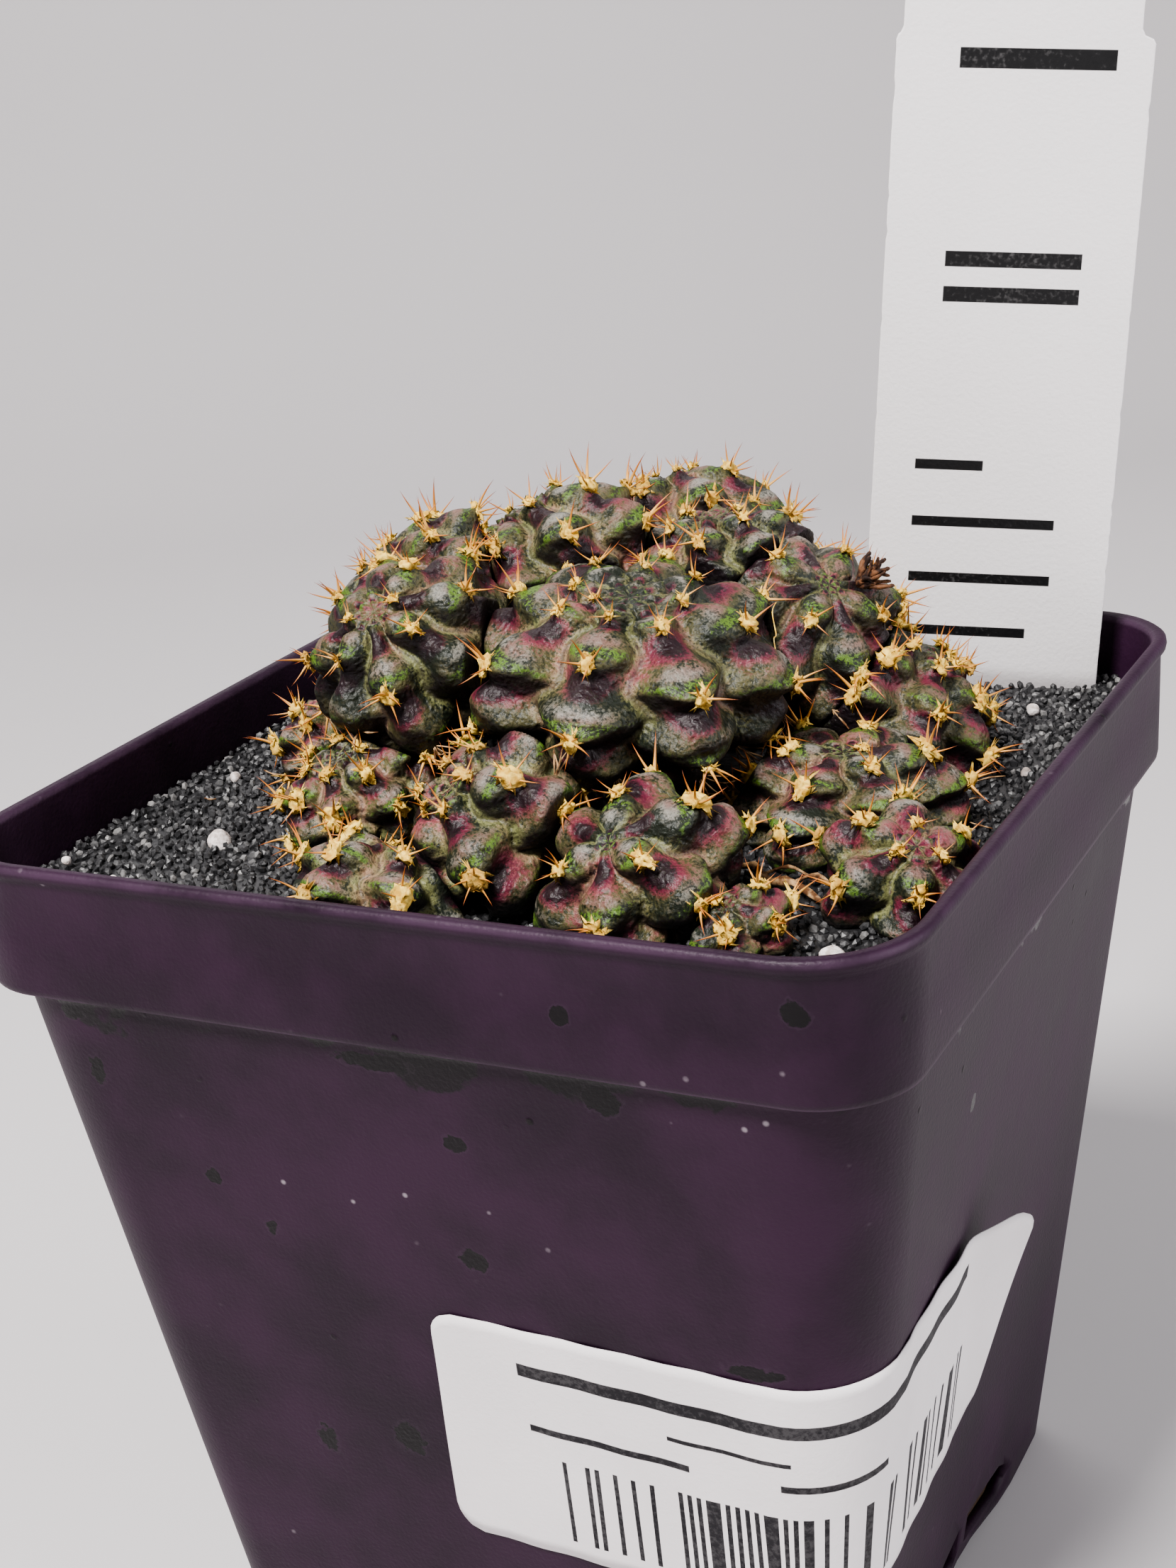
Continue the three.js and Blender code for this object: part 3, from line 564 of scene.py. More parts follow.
# Half the outline, up from the hidden point, and the other half down again
TAG_RIGHT = [(0, -36), (12.7, -8), (12.7, 67.6), (12.45, 68.05), (11.6, 68.4), (11.3, 69), (11.3, 76)]
TAG_RIGHT += [(11.15, 76.8), (10.7, 77.45), (10.1, 77.85), (9.3, 78)]
TAG_LEFT = [(-10, 78), (-10.9, 77.85), (-11.5, 77.4), (-11.95, 76.7), (-12.05, 76), (-12.05, 68.9)]
TAG_LEFT += [(-12.3, 68.3), (-12.55, 68.1), (-12.7, 67.6), (-12.7, -8)]
TAG_EDGE = [(0.16, -0.3), (0.04, -0.27), (0, -0.2), (0, 0.2), (0.04, 0.27), (0.16, 0.3)]
TAG_RULES = [
    (-6.4, 9.2, 66.0, 2.0),
    (-6.6, 7.4, 46.2, 1.6),
    (-6.6, 7.4, 42.6, 1.6),
    (-8.4, -1.2, 24.6, 1.1),
    (-8.4, 6.8, 18.4, 1.1),
    (-8.4, 6.8, 12.2, 1.1),
    (-8.2, 4.6, 6.2, 1.1),
]
UNPRINTED = 100  # moves the back's places on the tag clear of the rules
CUT_STEP, BURR, CHIP, CHIP_CHANCE, CHIP_SEED = 0.9, 0.05, (0.1, 0.22), 0.07, 7
tag_yaw, tag_lean, tag_back = math.radians(19.2), math.radians(5.6), math.radians(-1.4)
wide = np.array([math.cos(tag_yaw), math.sin(tag_yaw), 0])
rear = np.array([-math.sin(tag_yaw), math.cos(tag_yaw), 0])
standing = np.array([0, 0, math.cos(tag_back)]) + math.sin(tag_back) * rear
tag_across = math.cos(tag_lean) * wide - math.sin(tag_lean) * standing
tag_along = math.cos(tag_lean) * standing + math.sin(tag_lean) * wide
tag_face = np.cross(tag_across, tag_along)

chips = random.Random(CHIP_SEED)
outline = []
corners = TAG_RIGHT + TAG_LEFT
for (x, y), (next_x, next_y) in zip(corners, corners[1:] + corners[:1]):
    steps = max(1, round(math.dist((x, y), (next_x, next_y)) / CUT_STEP))
    for step in range(steps):
        part = step / steps
        burr = chips.uniform(0, BURR) if 0 < step else 0
        burr += chips.uniform(*CHIP) if step and chips.random() < CHIP_CHANCE else 0
        sideways = math.copysign(burr, x + next_x) if abs(next_y - y) > 3 else 0
        outline.append((x + (next_x - x) * part - sideways * 0.6, y + (next_y - y) * part))
count = len(outline)
points = []
for inset, depth in TAG_EDGE:
    for number, (x, y) in enumerate(outline):
        before, after = Vector(outline[number - 1]), Vector(outline[(number + 1) % count])
        way = (after - before).normalized()
        x, y = x - way.y * inset, y + way.x * inset
        points.append(TAG_BASE + x * tag_across + y * tag_along + depth * tag_face)

tag_plastic, place, shader = new_finish("tag plastic", Specular_IOR_Level=0.45)
on_tag = place.add("ShaderNodeUVMap", uv_map="tag")
up_tag = on_tag.axis(1)
cloud = place.noise(45, 4)
grain = place.noise(2200, 2)
soil = (1.6 - up_tag + cloud * 3).ramp(0.2, 2.6) * 0.5
worn = (grain * 0.6 + cloud * 0.5).ramp(0.62, 0.85) * 0.08
feed(
    shader,
    Base_Color=layered(
        place.mix(cloud, (0.74, 0.72, 0.73), (0.82, 0.80, 0.81)),
        (printed(on_tag.axis(0), up_tag, TAG_RULES) * (1 - worn), (0.005, 0.005, 0.006)),
        (soil, (0.12, 0.10, 0.10)),
    ),
    Roughness=0.38 + 0.2 * grain,
    height=(grain, 0.00004),
)
tag = add_piece("white_tag", points, tube_faces(len(TAG_EDGE), count), tag_plastic)
tag.data.polygons.foreach_set("use_smooth", [False] * len(tag.data.polygons))
tag_map = tag.data.uv_layers.new(name="tag")
for loop in tag.data.loops:
    x, y = outline[loop.vertex_index % count]
    front = loop.vertex_index >= count * len(TAG_EDGE) // 2
    tag_map.data[loop.index].uv = (x if front else x + UNPRINTED, y)
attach(tag, "root")
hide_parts("plant_tag")


# Heads. The clump of a chin cactus: each head is ribbed, and each rib is cut into round lumps
# that narrow to a chin with an areole at its tip. Neighbours are pressed flat on each other.
SAND_Z = 91.5
# Per head: where its middle is, the radius to its chins, its height over its width, the lean
# of its axis and which way, the angles of its first rib and first row and the step of the rows,
# its ribs, and how red and how pale its skin is
HEADS = {
    "stem_front": ((9, -10, 107), 16, 0.6, 12, -48, 99, 27, 37, 8, 0.55, 0.35),
    "stem_left": ((-11.5, -13.5, 107.5), 11.3, 0.94, 39, -106, 127, 13, 39, 8, 0.35, 0.25),
    "stem_right": ((18.5, 8.5, 105), 12, 0.8, 37.4, -24, 166, 8, 45, 8, 0.6, 0.2),
    "stem_crown_left": ((-5.5, 5.5, 111.5), 11.5, 0.8, 30, 187, 220, 23, 44, 8, 0.45, 0.5),
    "stem_crown_right": ((10, 11, 109), 11.5, 0.8, 7, 170, 203, 14, 28, 8, 0.55, 0.55),
    "stem_crown_back": ((0.5, 22.5, 109.5), 12, 0.8, 19, 148, -99, 14.5, 47, 8, 0.5, 0.5),
    "stem_left_back": ((-17.5, -2, 110), 11.5, 0.7, 40, 200, 56, 15, 34, 8, 0.3, 0.4),
    "stem_back_left": ((-17, 16, 104), 11, 0.75, 30, 140, 10, 24, 38, 8, 0.45, 0.35),
    "stem_back_right": ((13.5, 25, 102), 10, 0.75, 30, 70, 40, 24, 38, 8, 0.5, 0.3),
    "offset_front_left": ((3.2, -27.3, 97.5), 9.7, 0.75, 42, -139, 306, 25.7, 47.7, 6, 0.7, 0.7),
    "offset_front": ((18.5, -30, 95), 9.6, 0.74, 38, -108, 141, 8, 46, 6, 0.65, 0.4),
    "offset_left": ((-14.5, -22.5, 96.5), 8.3, 0.75, 25, -128, -35, 22, 39, 8, 0.4, 0.5),
    "offset_corner_left": ((-4.5, -36.5, 93), 8, 0.74, 28, 65, 64, 12.6, 42, 6, 0.3, 0.8),
    "offset_right": ((28.5, -6.5, 94), 11, 0.6, 6, -52, 75, 11, 31, 6, 0.5, 0.35),
    "offset_right_back": ((26.5, 10.8, 97), 11.5, 0.78, 33, 28, 190.5, 27, 32, 8, 0.6, 0.3),
    "offset_corner_right": ((39, -20.5, 93), 7.5, 0.8, 33, -38, 33, 17, 52, 6, 0.9, 0.8),
    "offset_small_front": ((29, -33, 92.5), 4.7, 0.8, 24, -119, 228, 17, 52, 6, 0.5, 0.3),
    "offset_back": ((-8, 32, 98), 9, 0.75, 30, 110, 70, 24, 38, 6, 0.45, 0.4),
    "offset_back_left": ((-25.5, 6, 96), 8, 0.75, 30, 170, 20, 24, 40, 6, 0.5, 0.4),
    "offset_small_left": ((-26, -8.5, 97), 6, 0.85, 20, 200, 20, 24, 40, 6, 0.6, 0.6),
}
CLOSE_HEADS = {"stem_front", "stem_left", "stem_right", "stem_crown_left", "stem_crown_right"}
CLOSE_HEADS |= {"stem_crown_back", "offset_front_left", "offset_front", "offset_left", "offset_right"}
BY_THE_TAG = ("offset_right_back", "stem_back_right")
CLOSE_NET, PLAIN_NET = (26, 90), (18, 60)  # columns for each rib, and rows
HEAD_GAP = 0.1
IN_SAND = 0.9  # how deep the heads' undersides reach into the grit
POT_INNER_HALF = 45.6
FIRST_ANGLE, LOWEST_ANGLE = 2.0, 150  # of the rows of points, from the crown
CORE, CHIN_REACH = 0.83, 0.15  # the plain ball under the lumps, and the chins over it, in radii
AREOLES_APART = 3.6  # of two areoles nearer than this only the lower one is kept
# The rows that carry areoles, from the lowest up, and the angles from the crown they keep to
AREOLE_ROWS, AREOLE_ANGLES = np.arange(4.5, -1.5, -0.5), (8, 128)
YOUNG_ROWS = 1.9  # above the first row each row is this many times closer to the crown
FADE_ANGLE = 18  # from the crown; nearer to it the lumps fade out
# Places on a rib, each a bell: its width across in ribs, then how far down from the areole its
# middle is and its height, in rows
RIB_PLACES = {
    "chin": (0.16, -0.02, 0.10),
    "throat": (0.36, 0.28, 0.22),
    # The upper face of each lump, paler: partly the skin's own silvering, partly painted highlight.
    "silver": (0.34, -0.34, 0.13),
    "moss": (0.42, -0.16, 0.11),
}
# What all heads share: how far out the plain rib stands, the balls' depth and stretch, what
# chins add and throats and creases take, all in radii, the creases' zigzag in ribs and, in
# metres, how softly a skin flattens on its neighbour
HEAD_SHAPE = {
    "Ridge": 0.925,
    "Ball_Depth": 0.815,
    "Stretch": 0.32,
    "Chin": 0.05,
    "Throat": 0.045,
    "Crease": 0.25,
    "Zigzag": 0.10,
    "Softness": 0.6 * MM,
}
BALL_WIDTH, CROWN_BALL = 1.5, 0.45  # shared out over the ribs, and what is left at the crown
BALL_RISE = 0.26  # of a row above its areole
UNEVENNESS = [(2.6, 0.08), (9.0, 0.045), (26.0, 0.010)]  # swells, dents, wrinkles: scale, height


def new_modifier_tree(name, **inputs):
    """A Geometry Nodes tree with named inputs. Returns it, its geometry and a dict of wires."""
    tree = bpy.data.node_groups.new(name, "GeometryNodeTree")
    sockets = tree.interface
    sockets.new_socket("Geometry", in_out="INPUT", socket_type="NodeSocketGeometry")
    sockets.new_socket("Geometry", in_out="OUTPUT", socket_type="NodeSocketGeometry")
    for label, kind in inputs.items():
        sockets.new_socket(label.replace("_", " "), in_out="INPUT", socket_type="NodeSocket" + kind)
    group = tree.nodes.new("NodeGroupInput")
    wires = {label: Wire(tree, group.outputs[label.replace("_", " ")]) for label in inputs}
    return tree, Wire(tree, group.outputs["Geometry"]), wires


def stored(tree_wire, name, kind="FLOAT"):
    """A named attribute of the points in a Geometry Nodes tree."""
    return tree_wire.add("GeometryNodeInputNamedAttribute", {"Name": name}, data_type=kind)


def end_tree(tree, last, finish, smooth=True):
    """Makes the last geometry real, gives it its finish and links it to the tree's output."""
    last = last.realized()
    if smooth:
        last = last.add("GeometryNodeSetShadeSmooth", {0: last})
    last = last.add("GeometryNodeSetMaterial", {0: last, "Material": finish})
    tree.links.new(last.socket, tree.nodes.new("NodeGroupOutput").inputs[0])


def grow(piece, tree, **values):
    """Gives the object a modifier with the tree, its inputs filled by the socket's identifier."""
    modifier = piece.modifiers.new(tree.name, "NODES")
    modifier.node_group = tree
    names = {item.name: item.identifier for item in tree.interface.items_tree if item.in_out == "INPUT"}
    for label, value in values.items():
        modifier[names[label.replace("_", " ")]] = value


def add_attribute(piece, name, values):
    """A number or a vector for each vertex, stored by name."""
    values = np.array(values, np.float32)
    kind, label = ("FLOAT", "value") if values.ndim == 1 else ("FLOAT_VECTOR", "vector")
    piece.data.attributes.new(name, kind, "POINT").data.foreach_set(label, values.ravel())


def vertex_vectors(vertices, label):
    numbers = np.zeros(len(vertices) * 3, np.float32)
    vertices.foreach_get(label, numbers)
    return numbers.reshape(-1, 3)


head_tree, geometry, size = new_modifier_tree(
    "chin cactus head",
    Centre="Vector",
    Radius="Float",
    Ribs="Float",
    Row_Step="Float",
    Ball="Float",
    **dict.fromkeys(HEAD_SHAPE, "Float"),
    Seed="Float",
    Skin="Material",
)
# The lumps of neighbouring ribs are half a row apart, so the crease between them zigzags.
row = stored(geometry, "row")
rib = stored(geometry, "rib")
wave = ((row + 0.18) * (2 * math.pi)).math("COSINE") * (rib * math.pi).math("SINE")
rib = rib - wave * size["Zigzag"]
nearest = rib.math("ROUND")
from_middle = (rib - nearest).math("ABSOLUTE") * 2
crease = (1 - (1 - (from_middle * 0.96) ** 2).math("SQRT")) / 0.72
# Each lump is a ball on the rib, a little above its areole; the nearest nine are laid together.
round_way = stored(geometry, "sine")
per_rib = round_way * (2 * math.pi) / size["Ribs"]
ball = size["Ball"] * (CROWN_BALL + (1 - CROWN_BALL) * round_way)
balls = None
lump = {}
for k in (-1, 0, 1):
    across = rib - nearest - k
    shifted = row - (nearest + k).math("PINGPONG", 1.0) * 0.5
    first = shifted.math("ROUND")
    for j in (-1, 0, 1):
        down = shifted - first - j
        for label, (wide, middle, tall) in RIB_PLACES.items():
            bell = (((across / wide) ** 2 + ((down - middle) / tall) ** 2) * -1).math("EXPONENT")
            lump[label] = lump[label] + bell if label in lump else bell
        apart = (across * per_rib) ** 2 + ((down + BALL_RISE) * size["Row_Step"]) ** 2 * size["Stretch"]
        half_chord = (ball**2 - size["Ball_Depth"] ** 2 * apart).math("MAXIMUM", 0.0).math("SQRT")
        one = size["Ball_Depth"] * (1 - apart * 0.5) + half_chord
        balls = balls.math("SMOOTH_MAX", one, 0.03) if balls else one
ridge = size["Ridge"] - crease * size["Crease"] - lump["throat"] * size["Throat"]
ridge = ridge.math("SMOOTH_MAX", balls, 0.05) + lump["chin"] * size["Chin"]
ray = stored(geometry, "ray", "FLOAT_VECTOR")
here = ray.vector("ADD", size["Seed"])
uneven = sum((here.noise(scale) - 0.5) * height for scale, height in UNEVENNESS)
free = size["Radius"] * (CORE + (ridge - CORE) * stored(geometry, "fade") + uneven)
limit = stored(geometry, "limit")
reach = free.math("SMOOTH_MIN", limit, size["Softness"])
# How far the skin is pressed on a neighbour, kept for the painted shade that the skin's finish lays there.
pressed = (free - limit).ramp(-0.0006, 0.0008)
spot = ray.vector("SCALE", reach).vector("ADD", size["Centre"])
shaped = geometry.add("GeometryNodeSetPosition", {"Geometry": geometry, "Position": spot})
for name, wire in {**lump, "crease": crease, "pressed": pressed}.items():
    shaped = shaped.add("GeometryNodeStoreNamedAttribute", {0: shaped, "Name": name, "Value": wire})
end_tree(head_tree, shaped, size["Skin"])

BLACK_GREEN = (0.010, 0.014, 0.008)
OLIVE = (0.105, 0.095, 0.038)
MOSS = (0.125, 0.235, 0.026)
LIGHT_OLIVE = (0.27, 0.28, 0.11)
PEACH = (0.42, 0.25, 0.17)
SILVER = (0.34, 0.32, 0.28)
MAUVE = (0.25, 0.12, 0.115)
WINE = (0.125, 0.011, 0.034)
ROSE = (0.38, 0.10, 0.11)
BLACK_PURPLE = (0.006, 0.0025, 0.005)
SKIN_VALUES = ("chin", "throat", "silver", "moss", "crease", "pressed", "red", "pale", "upright")
skin, place, shader = new_finish("cactus skin", Specular_IOR_Level=0.42)
chin, throat, silver, moss, crease, pressed, red, pale, upright = map(place.attribute, SKIN_VALUES)
region, blotch = place.noise(60, 3, 0.6), place.noise(170, 4, 0.6)
stipple, speck = place.noise(900, 4, 0.6), place.noise(3400, 2, 0.6)
leather = place.noise(1500, 4, 0.6, noise_type="RIDGED_MULTIFRACTAL")
grained = stipple * 0.45 + speck * 0.55 - 0.5
patchy, broad = blotch - 0.5, region - 0.5
edges = (crease * 0.7 + grained * 1.2 + pale * 0.3 + broad * 0.8 - throat * 0.3).ramp(0.34, 0.70)
# Silver to mauve on the upper face of each lump and where the skin faces up: partly the skin's pale
# silvering, partly painted highlight from the light above.
grey_and_sheen = (silver * 0.65 + upright * 0.35 + grained * 2.2 + pale * 0.25 + broad * 0.8).ramp(0.55, 1.05)
mossy = (moss * 0.95 + grained * 2.0 + patchy * 0.8).ramp(0.42, 0.80)
flush = throat * 0.9 + patchy * 1.5 + red * 0.35 + grained * 1.0 - chin * 0.5 - moss * 0.2
# Black-purple in the throats under the chins: painted shade under their overhang, mottled by noise.
throat_shade = (throat * 1.0 + grained * 1.4 + broad * 1.0 - upright * 0.1).ramp(0.26, 0.60)
# Black-purple where the skin faces down: painted shade on the undersides.
underside_shade = (0.3 - upright + grained * 1.0).ramp(0.0, 0.65)
# Fine black-green speckle: partly the skin's own speckle, partly painted shade between the fine glints of
# the waxy skin.
dark_speckle = (stipple * 0.4 + speck * 0.6).ramp(0.54, 0.61)
# Black-purple deep in the creases between ribs and where a head is pressed on its neighbour: painted shade.
crease_and_contact_shade = (crease.ramp(0.55, 0.95) * 0.75).math("MAXIMUM", pressed)
feed(
    shader,
    Base_Color=layered(
        place.mix((0.45 + patchy + grained).ramp(0.30, 0.62), BLACK_GREEN, OLIVE),
        (edges * 0.75, place.mix(patchy.ramp(-0.08, 0.10), LIGHT_OLIVE, PEACH)),
        # partly pale skin, partly painted highlight on top
        (grey_and_sheen * 0.60, place.mix((patchy + red * 0.1).ramp(-0.05, 0.12), SILVER, MAUVE)),
        (mossy * 0.92, place.mix(grained.ramp(-0.06, 0.10), BLACK_GREEN, MOSS)),
        (flush.ramp(0.34, 0.64) * 0.9, place.mix((grained + broad * 0.5).ramp(-0.05, 0.16), WINE, ROSE)),
        # painted shade in the throats
        (throat_shade * 0.95, BLACK_PURPLE),
        # painted shade on the undersides
        (underside_shade * 0.93, BLACK_PURPLE),
        # the speckle, partly painted shade between glints
        (dark_speckle * 0.55, BLACK_GREEN),
        # painted shade in creases and contacts
        (crease_and_contact_shade * 0.9, BLACK_PURPLE),
    ),
    Roughness=0.36 + 0.3 * stipple,
    height=(leather * 0.5 + stipple * 0.7, 0.00042),
)


def head_frame(tilt, towards):
    """A head's axis and the two directions across it."""
    tilt, towards = math.radians(tilt), math.radians(towards)
    level = np.array([math.cos(towards), math.sin(towards), 0])
    upward = np.array([0, 0, 1.0])
    axis = math.sin(tilt) * level + math.cos(tilt) * upward
    side = math.cos(tilt) * level - math.sin(tilt) * upward
    return axis, side, np.cross(axis, side)


def head_limits(name, rays):
    """How far each ray can go before it meets the plane between two heads, the grit, the pot's
    wall or the tag."""
    at, radius = np.array(HEADS[name][0], float), HEADS[name][1]
    planes = [(np.array([0, 0, -1.0]), at[2] - SAND_Z + IN_SAND)]
    for other, (there, other_radius, *_) in HEADS.items():
        if other != name:
            between = np.array(there, float) - at
            span = np.linalg.norm(between)
            share = (span**2 + radius**2 - other_radius**2) / (2 * span)
            planes.append((between / span, share - HEAD_GAP))
    for axis in (0, 1):
        for way in (1, -1):
            planes.append((way * np.eye(3)[axis], POT_INNER_HALF - way * at[axis]))
    if name in BY_THE_TAG:
        planes.append((-tag_face, float(np.dot(TAG_BASE - at, -tag_face)) - TAG_THICKNESS))
    limit = np.full(rays.shape[:-1], 90.0)
    for normal, distance in planes:
        towards = rays @ normal
        meets = distance / np.maximum(towards, 1e-6)
        limit = np.where(towards > 1e-6, np.minimum(limit, meets), limit)
    return limit


def new_head(name):
    """A head's skin, grown along rays from its middle, and its areoles: the place, the normal,
    the way to the crown and the angle from the crown of each."""
    at, radius, squash, tilt, towards, first_rib, first_row, row_step, ribs, redness, paleness = HEADS[name]
    per_rib, rows = CLOSE_NET if name in CLOSE_HEADS else PLAIN_NET
    columns = ribs * per_rib
    axis, side, other = head_frame(tilt, towards)
    theta = np.arange(columns) * 2 * math.pi / columns
    phi = np.radians(np.linspace(FIRST_ANGLE, LOWEST_ANGLE, rows))
    turned, opened = np.meshgrid(theta, phi)
    flat = np.sin(opened)
    rays = (
        (flat * np.cos(turned))[..., None] * side
        + (flat * np.sin(turned))[..., None] * other
        + (squash * np.cos(opened))[..., None] * axis
    )
    limits = head_limits(name, rays)
    ends = np.array([squash * axis, -squash * axis])
    all_rays = np.vstack([rays.reshape(-1, 3), ends])
    degrees = np.degrees(opened)
    young_row = np.log(degrees / first_row) / math.log(YOUNG_ROWS)
    on_net = {
        "rib": (np.degrees(turned) - first_rib) * ribs / 360,
        "row": np.where(degrees < first_row, young_row, (degrees - first_row) / row_step),
        "fade": np.clip(flat / math.sin(math.radians(FADE_ANGLE)), 0, 1) ** 1.2,
        "sine": flat,
    }
    attributes = {label: np.append(values.ravel(), [0, 0]) for label, values in on_net.items()}
    attributes["limit"] = np.append(limits.ravel(), head_limits(name, ends)) * MM
    attributes["red"] = np.full(len(all_rays), redness)
    attributes["pale"] = np.full(len(all_rays), paleness)
    attributes["ray"] = all_rays
    faces = []
    top, bottom = rows * columns, rows * columns + 1
    for i in range(columns):
        nxt = (i + 1) % columns
        faces.append((top, i, nxt))
        faces.append((bottom, (rows - 1) * columns + nxt, (rows - 1) * columns + i))
        for j in range(rows - 1):
            a, b = j * columns + i, j * columns + nxt
            faces.append((a, a + columns, b + columns, b))
    points = np.array(at) + all_rays * radius * CORE
    head = add_piece(name + "_skin", points.tolist(), faces, skin)
    for label, values in attributes.items():
        add_attribute(head, label, values)
    grow(
        head,
        head_tree,
        Centre=Vector(at) * MM,
        Radius=radius * MM,
        Ribs=float(ribs),
        Row_Step=math.radians(row_step),
        Ball=BALL_WIDTH / ribs,
        **HEAD_SHAPE,
        Seed=float(len(name) + radius),
        Skin=skin,
    )
    taken_plain(head)
    normals = vertex_vectors(head.data.vertex_normals, "vector")
    # How far each point faces up, which the skin's finish uses for painted highlight on top and painted
    # shade underneath.
    add_attribute(head, "upright", normals[:, 2])
    positions = vertex_vectors(head.data.vertices, "co") / MM
    areoles = []
    for rows_down in AREOLE_ROWS:
        degrees = first_row + row_step * rows_down if rows_down >= 0 else first_row * YOUNG_ROWS**rows_down
        if not AREOLE_ANGLES[0] < degrees < AREOLE_ANGLES[1]:
            continue
        line = round((degrees - FIRST_ANGLE) / (LOWEST_ANGLE - FIRST_ANGLE) * (rows - 1))
        for k in range(round(2 * rows_down) % 2, ribs, 2):
            column = round((first_rib + 360 * k / ribs) / 360 * columns) % columns
            tip = line * columns + column
            free = radius * (CORE + CHIN_REACH)
            if limits[line, column] < free - 0.5 or positions[tip][2] < SAND_Z + 1.0:
                continue
            if any(math.dist(positions[tip], found[0]) < AREOLES_APART for found in areoles):
                continue
            above = max(line - 3, 0) * columns + column
            areoles.append((positions[tip], normals[tip], positions[above] - positions[tip], degrees))
    return head, areoles


heads, areoles = {}, {}
for name in HEADS:
    heads[name], areoles[name] = new_head(name)


# Areoles. At each chin sits a pad of cream wool, and out of it grow four to six golden spines
# with red-brown tips, slightly curved. They are part of the head's own skin. Old spines wither
# on the undersides; the remains of a flower dried up beside one crown.
def instances(points, instance, turn, scale=(1, 1, 1)):
    sockets = {"Points": points, "Instance": instance, "Rotation": turn, "Scale": scale}
    return points.add("GeometryNodeInstanceOnPoints", sockets)


def aimed_turn(points):
    """The turn that points z along each point's aim and x towards its lean."""
    aim, lean = (stored(points, name, "FLOAT_VECTOR") for name in ("aim", "lean"))
    turn = points.add("FunctionNodeAlignRotationToVector", {"Vector": aim}, axis="Z")
    sockets = {"Rotation": turn, "Vector": lean}
    return points.add("FunctionNodeAlignRotationToVector", sockets, axis="X", pivot_axis="Z")


def random_value(wire, low, high, seed=0):
    """A random number or vector for each element, evenly between two."""
    if isinstance(low, tuple):
        sockets = {0: low, 1: high, "Seed": seed}
        return wire.add("FunctionNodeRandomValue", sockets, data_type="FLOAT_VECTOR")
    sockets = {2: low, 3: high, "Seed": seed}
    return wire.add("FunctionNodeRandomValue", sockets, out=1, data_type="FLOAT")


def shifted_by(geometry, offset):
    return geometry.add("GeometryNodeSetPosition", {"Geometry": geometry, "Offset": offset})


def put_together(first, second):
    """Two geometries in one."""
    both = first.add("GeometryNodeJoinGeometry", {0: first})
    both.tree.links.new(second.socket, both.socket.node.inputs[0])
    return both


def pointed(wire, sides, segments, thick, long, base):
    """A cone that tapers to a point."""
    sockets = {"Vertices": sides, "Side Segments": segments, "Radius Top": 0.0}
    sockets |= {"Radius Bottom": thick, "Depth": long}
    return wire.add("GeometryNodeMeshCone", sockets, fill_type=base)


spine_tree, geometry, size = new_modifier_tree("spines", Thickness="Float", Curve="Float", Spine="Material")
needle = pointed(geometry, 5, 5, size["Thickness"], 1.0, base="TRIANGLE_FAN")
height = geometry.add("GeometryNodeInputPosition").axis(2)
bend = geometry.add("ShaderNodeCombineXYZ", {0: height * height * size["Curve"] * -1})
needle = shifted_by(needle, bend)
needle = needle.add("GeometryNodeStoreNamedAttribute", {0: needle, "Name": "along", "Value": height})
grown = instances(geometry, needle, aimed_turn(geometry), stored(geometry, "long"))
end_tree(spine_tree, grown, size["Spine"])

HAIR_STRAY = 0.7
WOOL_CRUMBS = [(900, 0.9), (2600, 0.8)]  # size of the noise, and how far it moves the wool
wool_tree, geometry, size = new_modifier_tree(
    "areole wool", Width="Float", Fibre="Float", Fibres="Int", Seed="Int", Wool="Material"
)
blob = geometry.add("GeometryNodeMeshIcoSphere", {"Radius": size["Width"] * 0.5, "Subdivisions": 3})
hair = pointed(geometry, 3, 1, size["Fibre"] * 0.16, size["Fibre"], base="NONE")
sockets = {"Mesh": blob, "Density": 1.0e8, "Seed": size["Seed"]}
starts = geometry.add("GeometryNodeDistributePointsOnFaces", sockets)
starts_normal = Wire(wool_tree, starts.socket.node.outputs["Normal"])
sockets = {2: geometry.add("GeometryNodeInputIndex"), 3: size["Fibres"]}
too_many = geometry.add("FunctionNodeCompare", sockets, data_type="INT", operation="GREATER_EQUAL")
starts = starts.add("GeometryNodeDeleteGeometry", {0: starts, 1: too_many})
hair_aim = starts_normal.vector("ADD", random_value(geometry, (-HAIR_STRAY,) * 3, (HAIR_STRAY,) * 3))
hair_turn = geometry.add("FunctionNodeAlignRotationToVector", {"Vector": hair_aim}, axis="Z")
tuft = put_together(blob, instances(starts, hair, hair_turn)).realized()
spread = stored(geometry, "spread", "FLOAT_VECTOR")
grown = instances(geometry, tuft, aimed_turn(geometry), spread).realized()
where = geometry.add("GeometryNodeInputPosition")
for scale, share in WOOL_CRUMBS:
    crumb = where.noise(scale, out=1).vector("SUBTRACT", (0.5, 0.5, 0.5))
    grown = shifted_by(grown, crumb.vector("SCALE", size["Width"] * share))
end_tree(wool_tree, grown, size["Wool"])

SPINE_COLOURS = [
    (0.0, (0.78, 0.50, 0.16)),
    (0.35, (0.62, 0.29, 0.065)),
    (0.70, (0.46, 0.14, 0.03)),
    (1.0, (0.12, 0.025, 0.02)),
]
thorn, place, shader = new_finish("golden spine", Specular_IOR_Level=0.5, Roughness=0.42)
sockets = {0: place.attribute("along") + (place.noise(300) - 0.5) * 0.5}
feed(shader, Base_Color=place.add("ShaderNodeValToRGB", sockets, stops=SPINE_COLOURS))

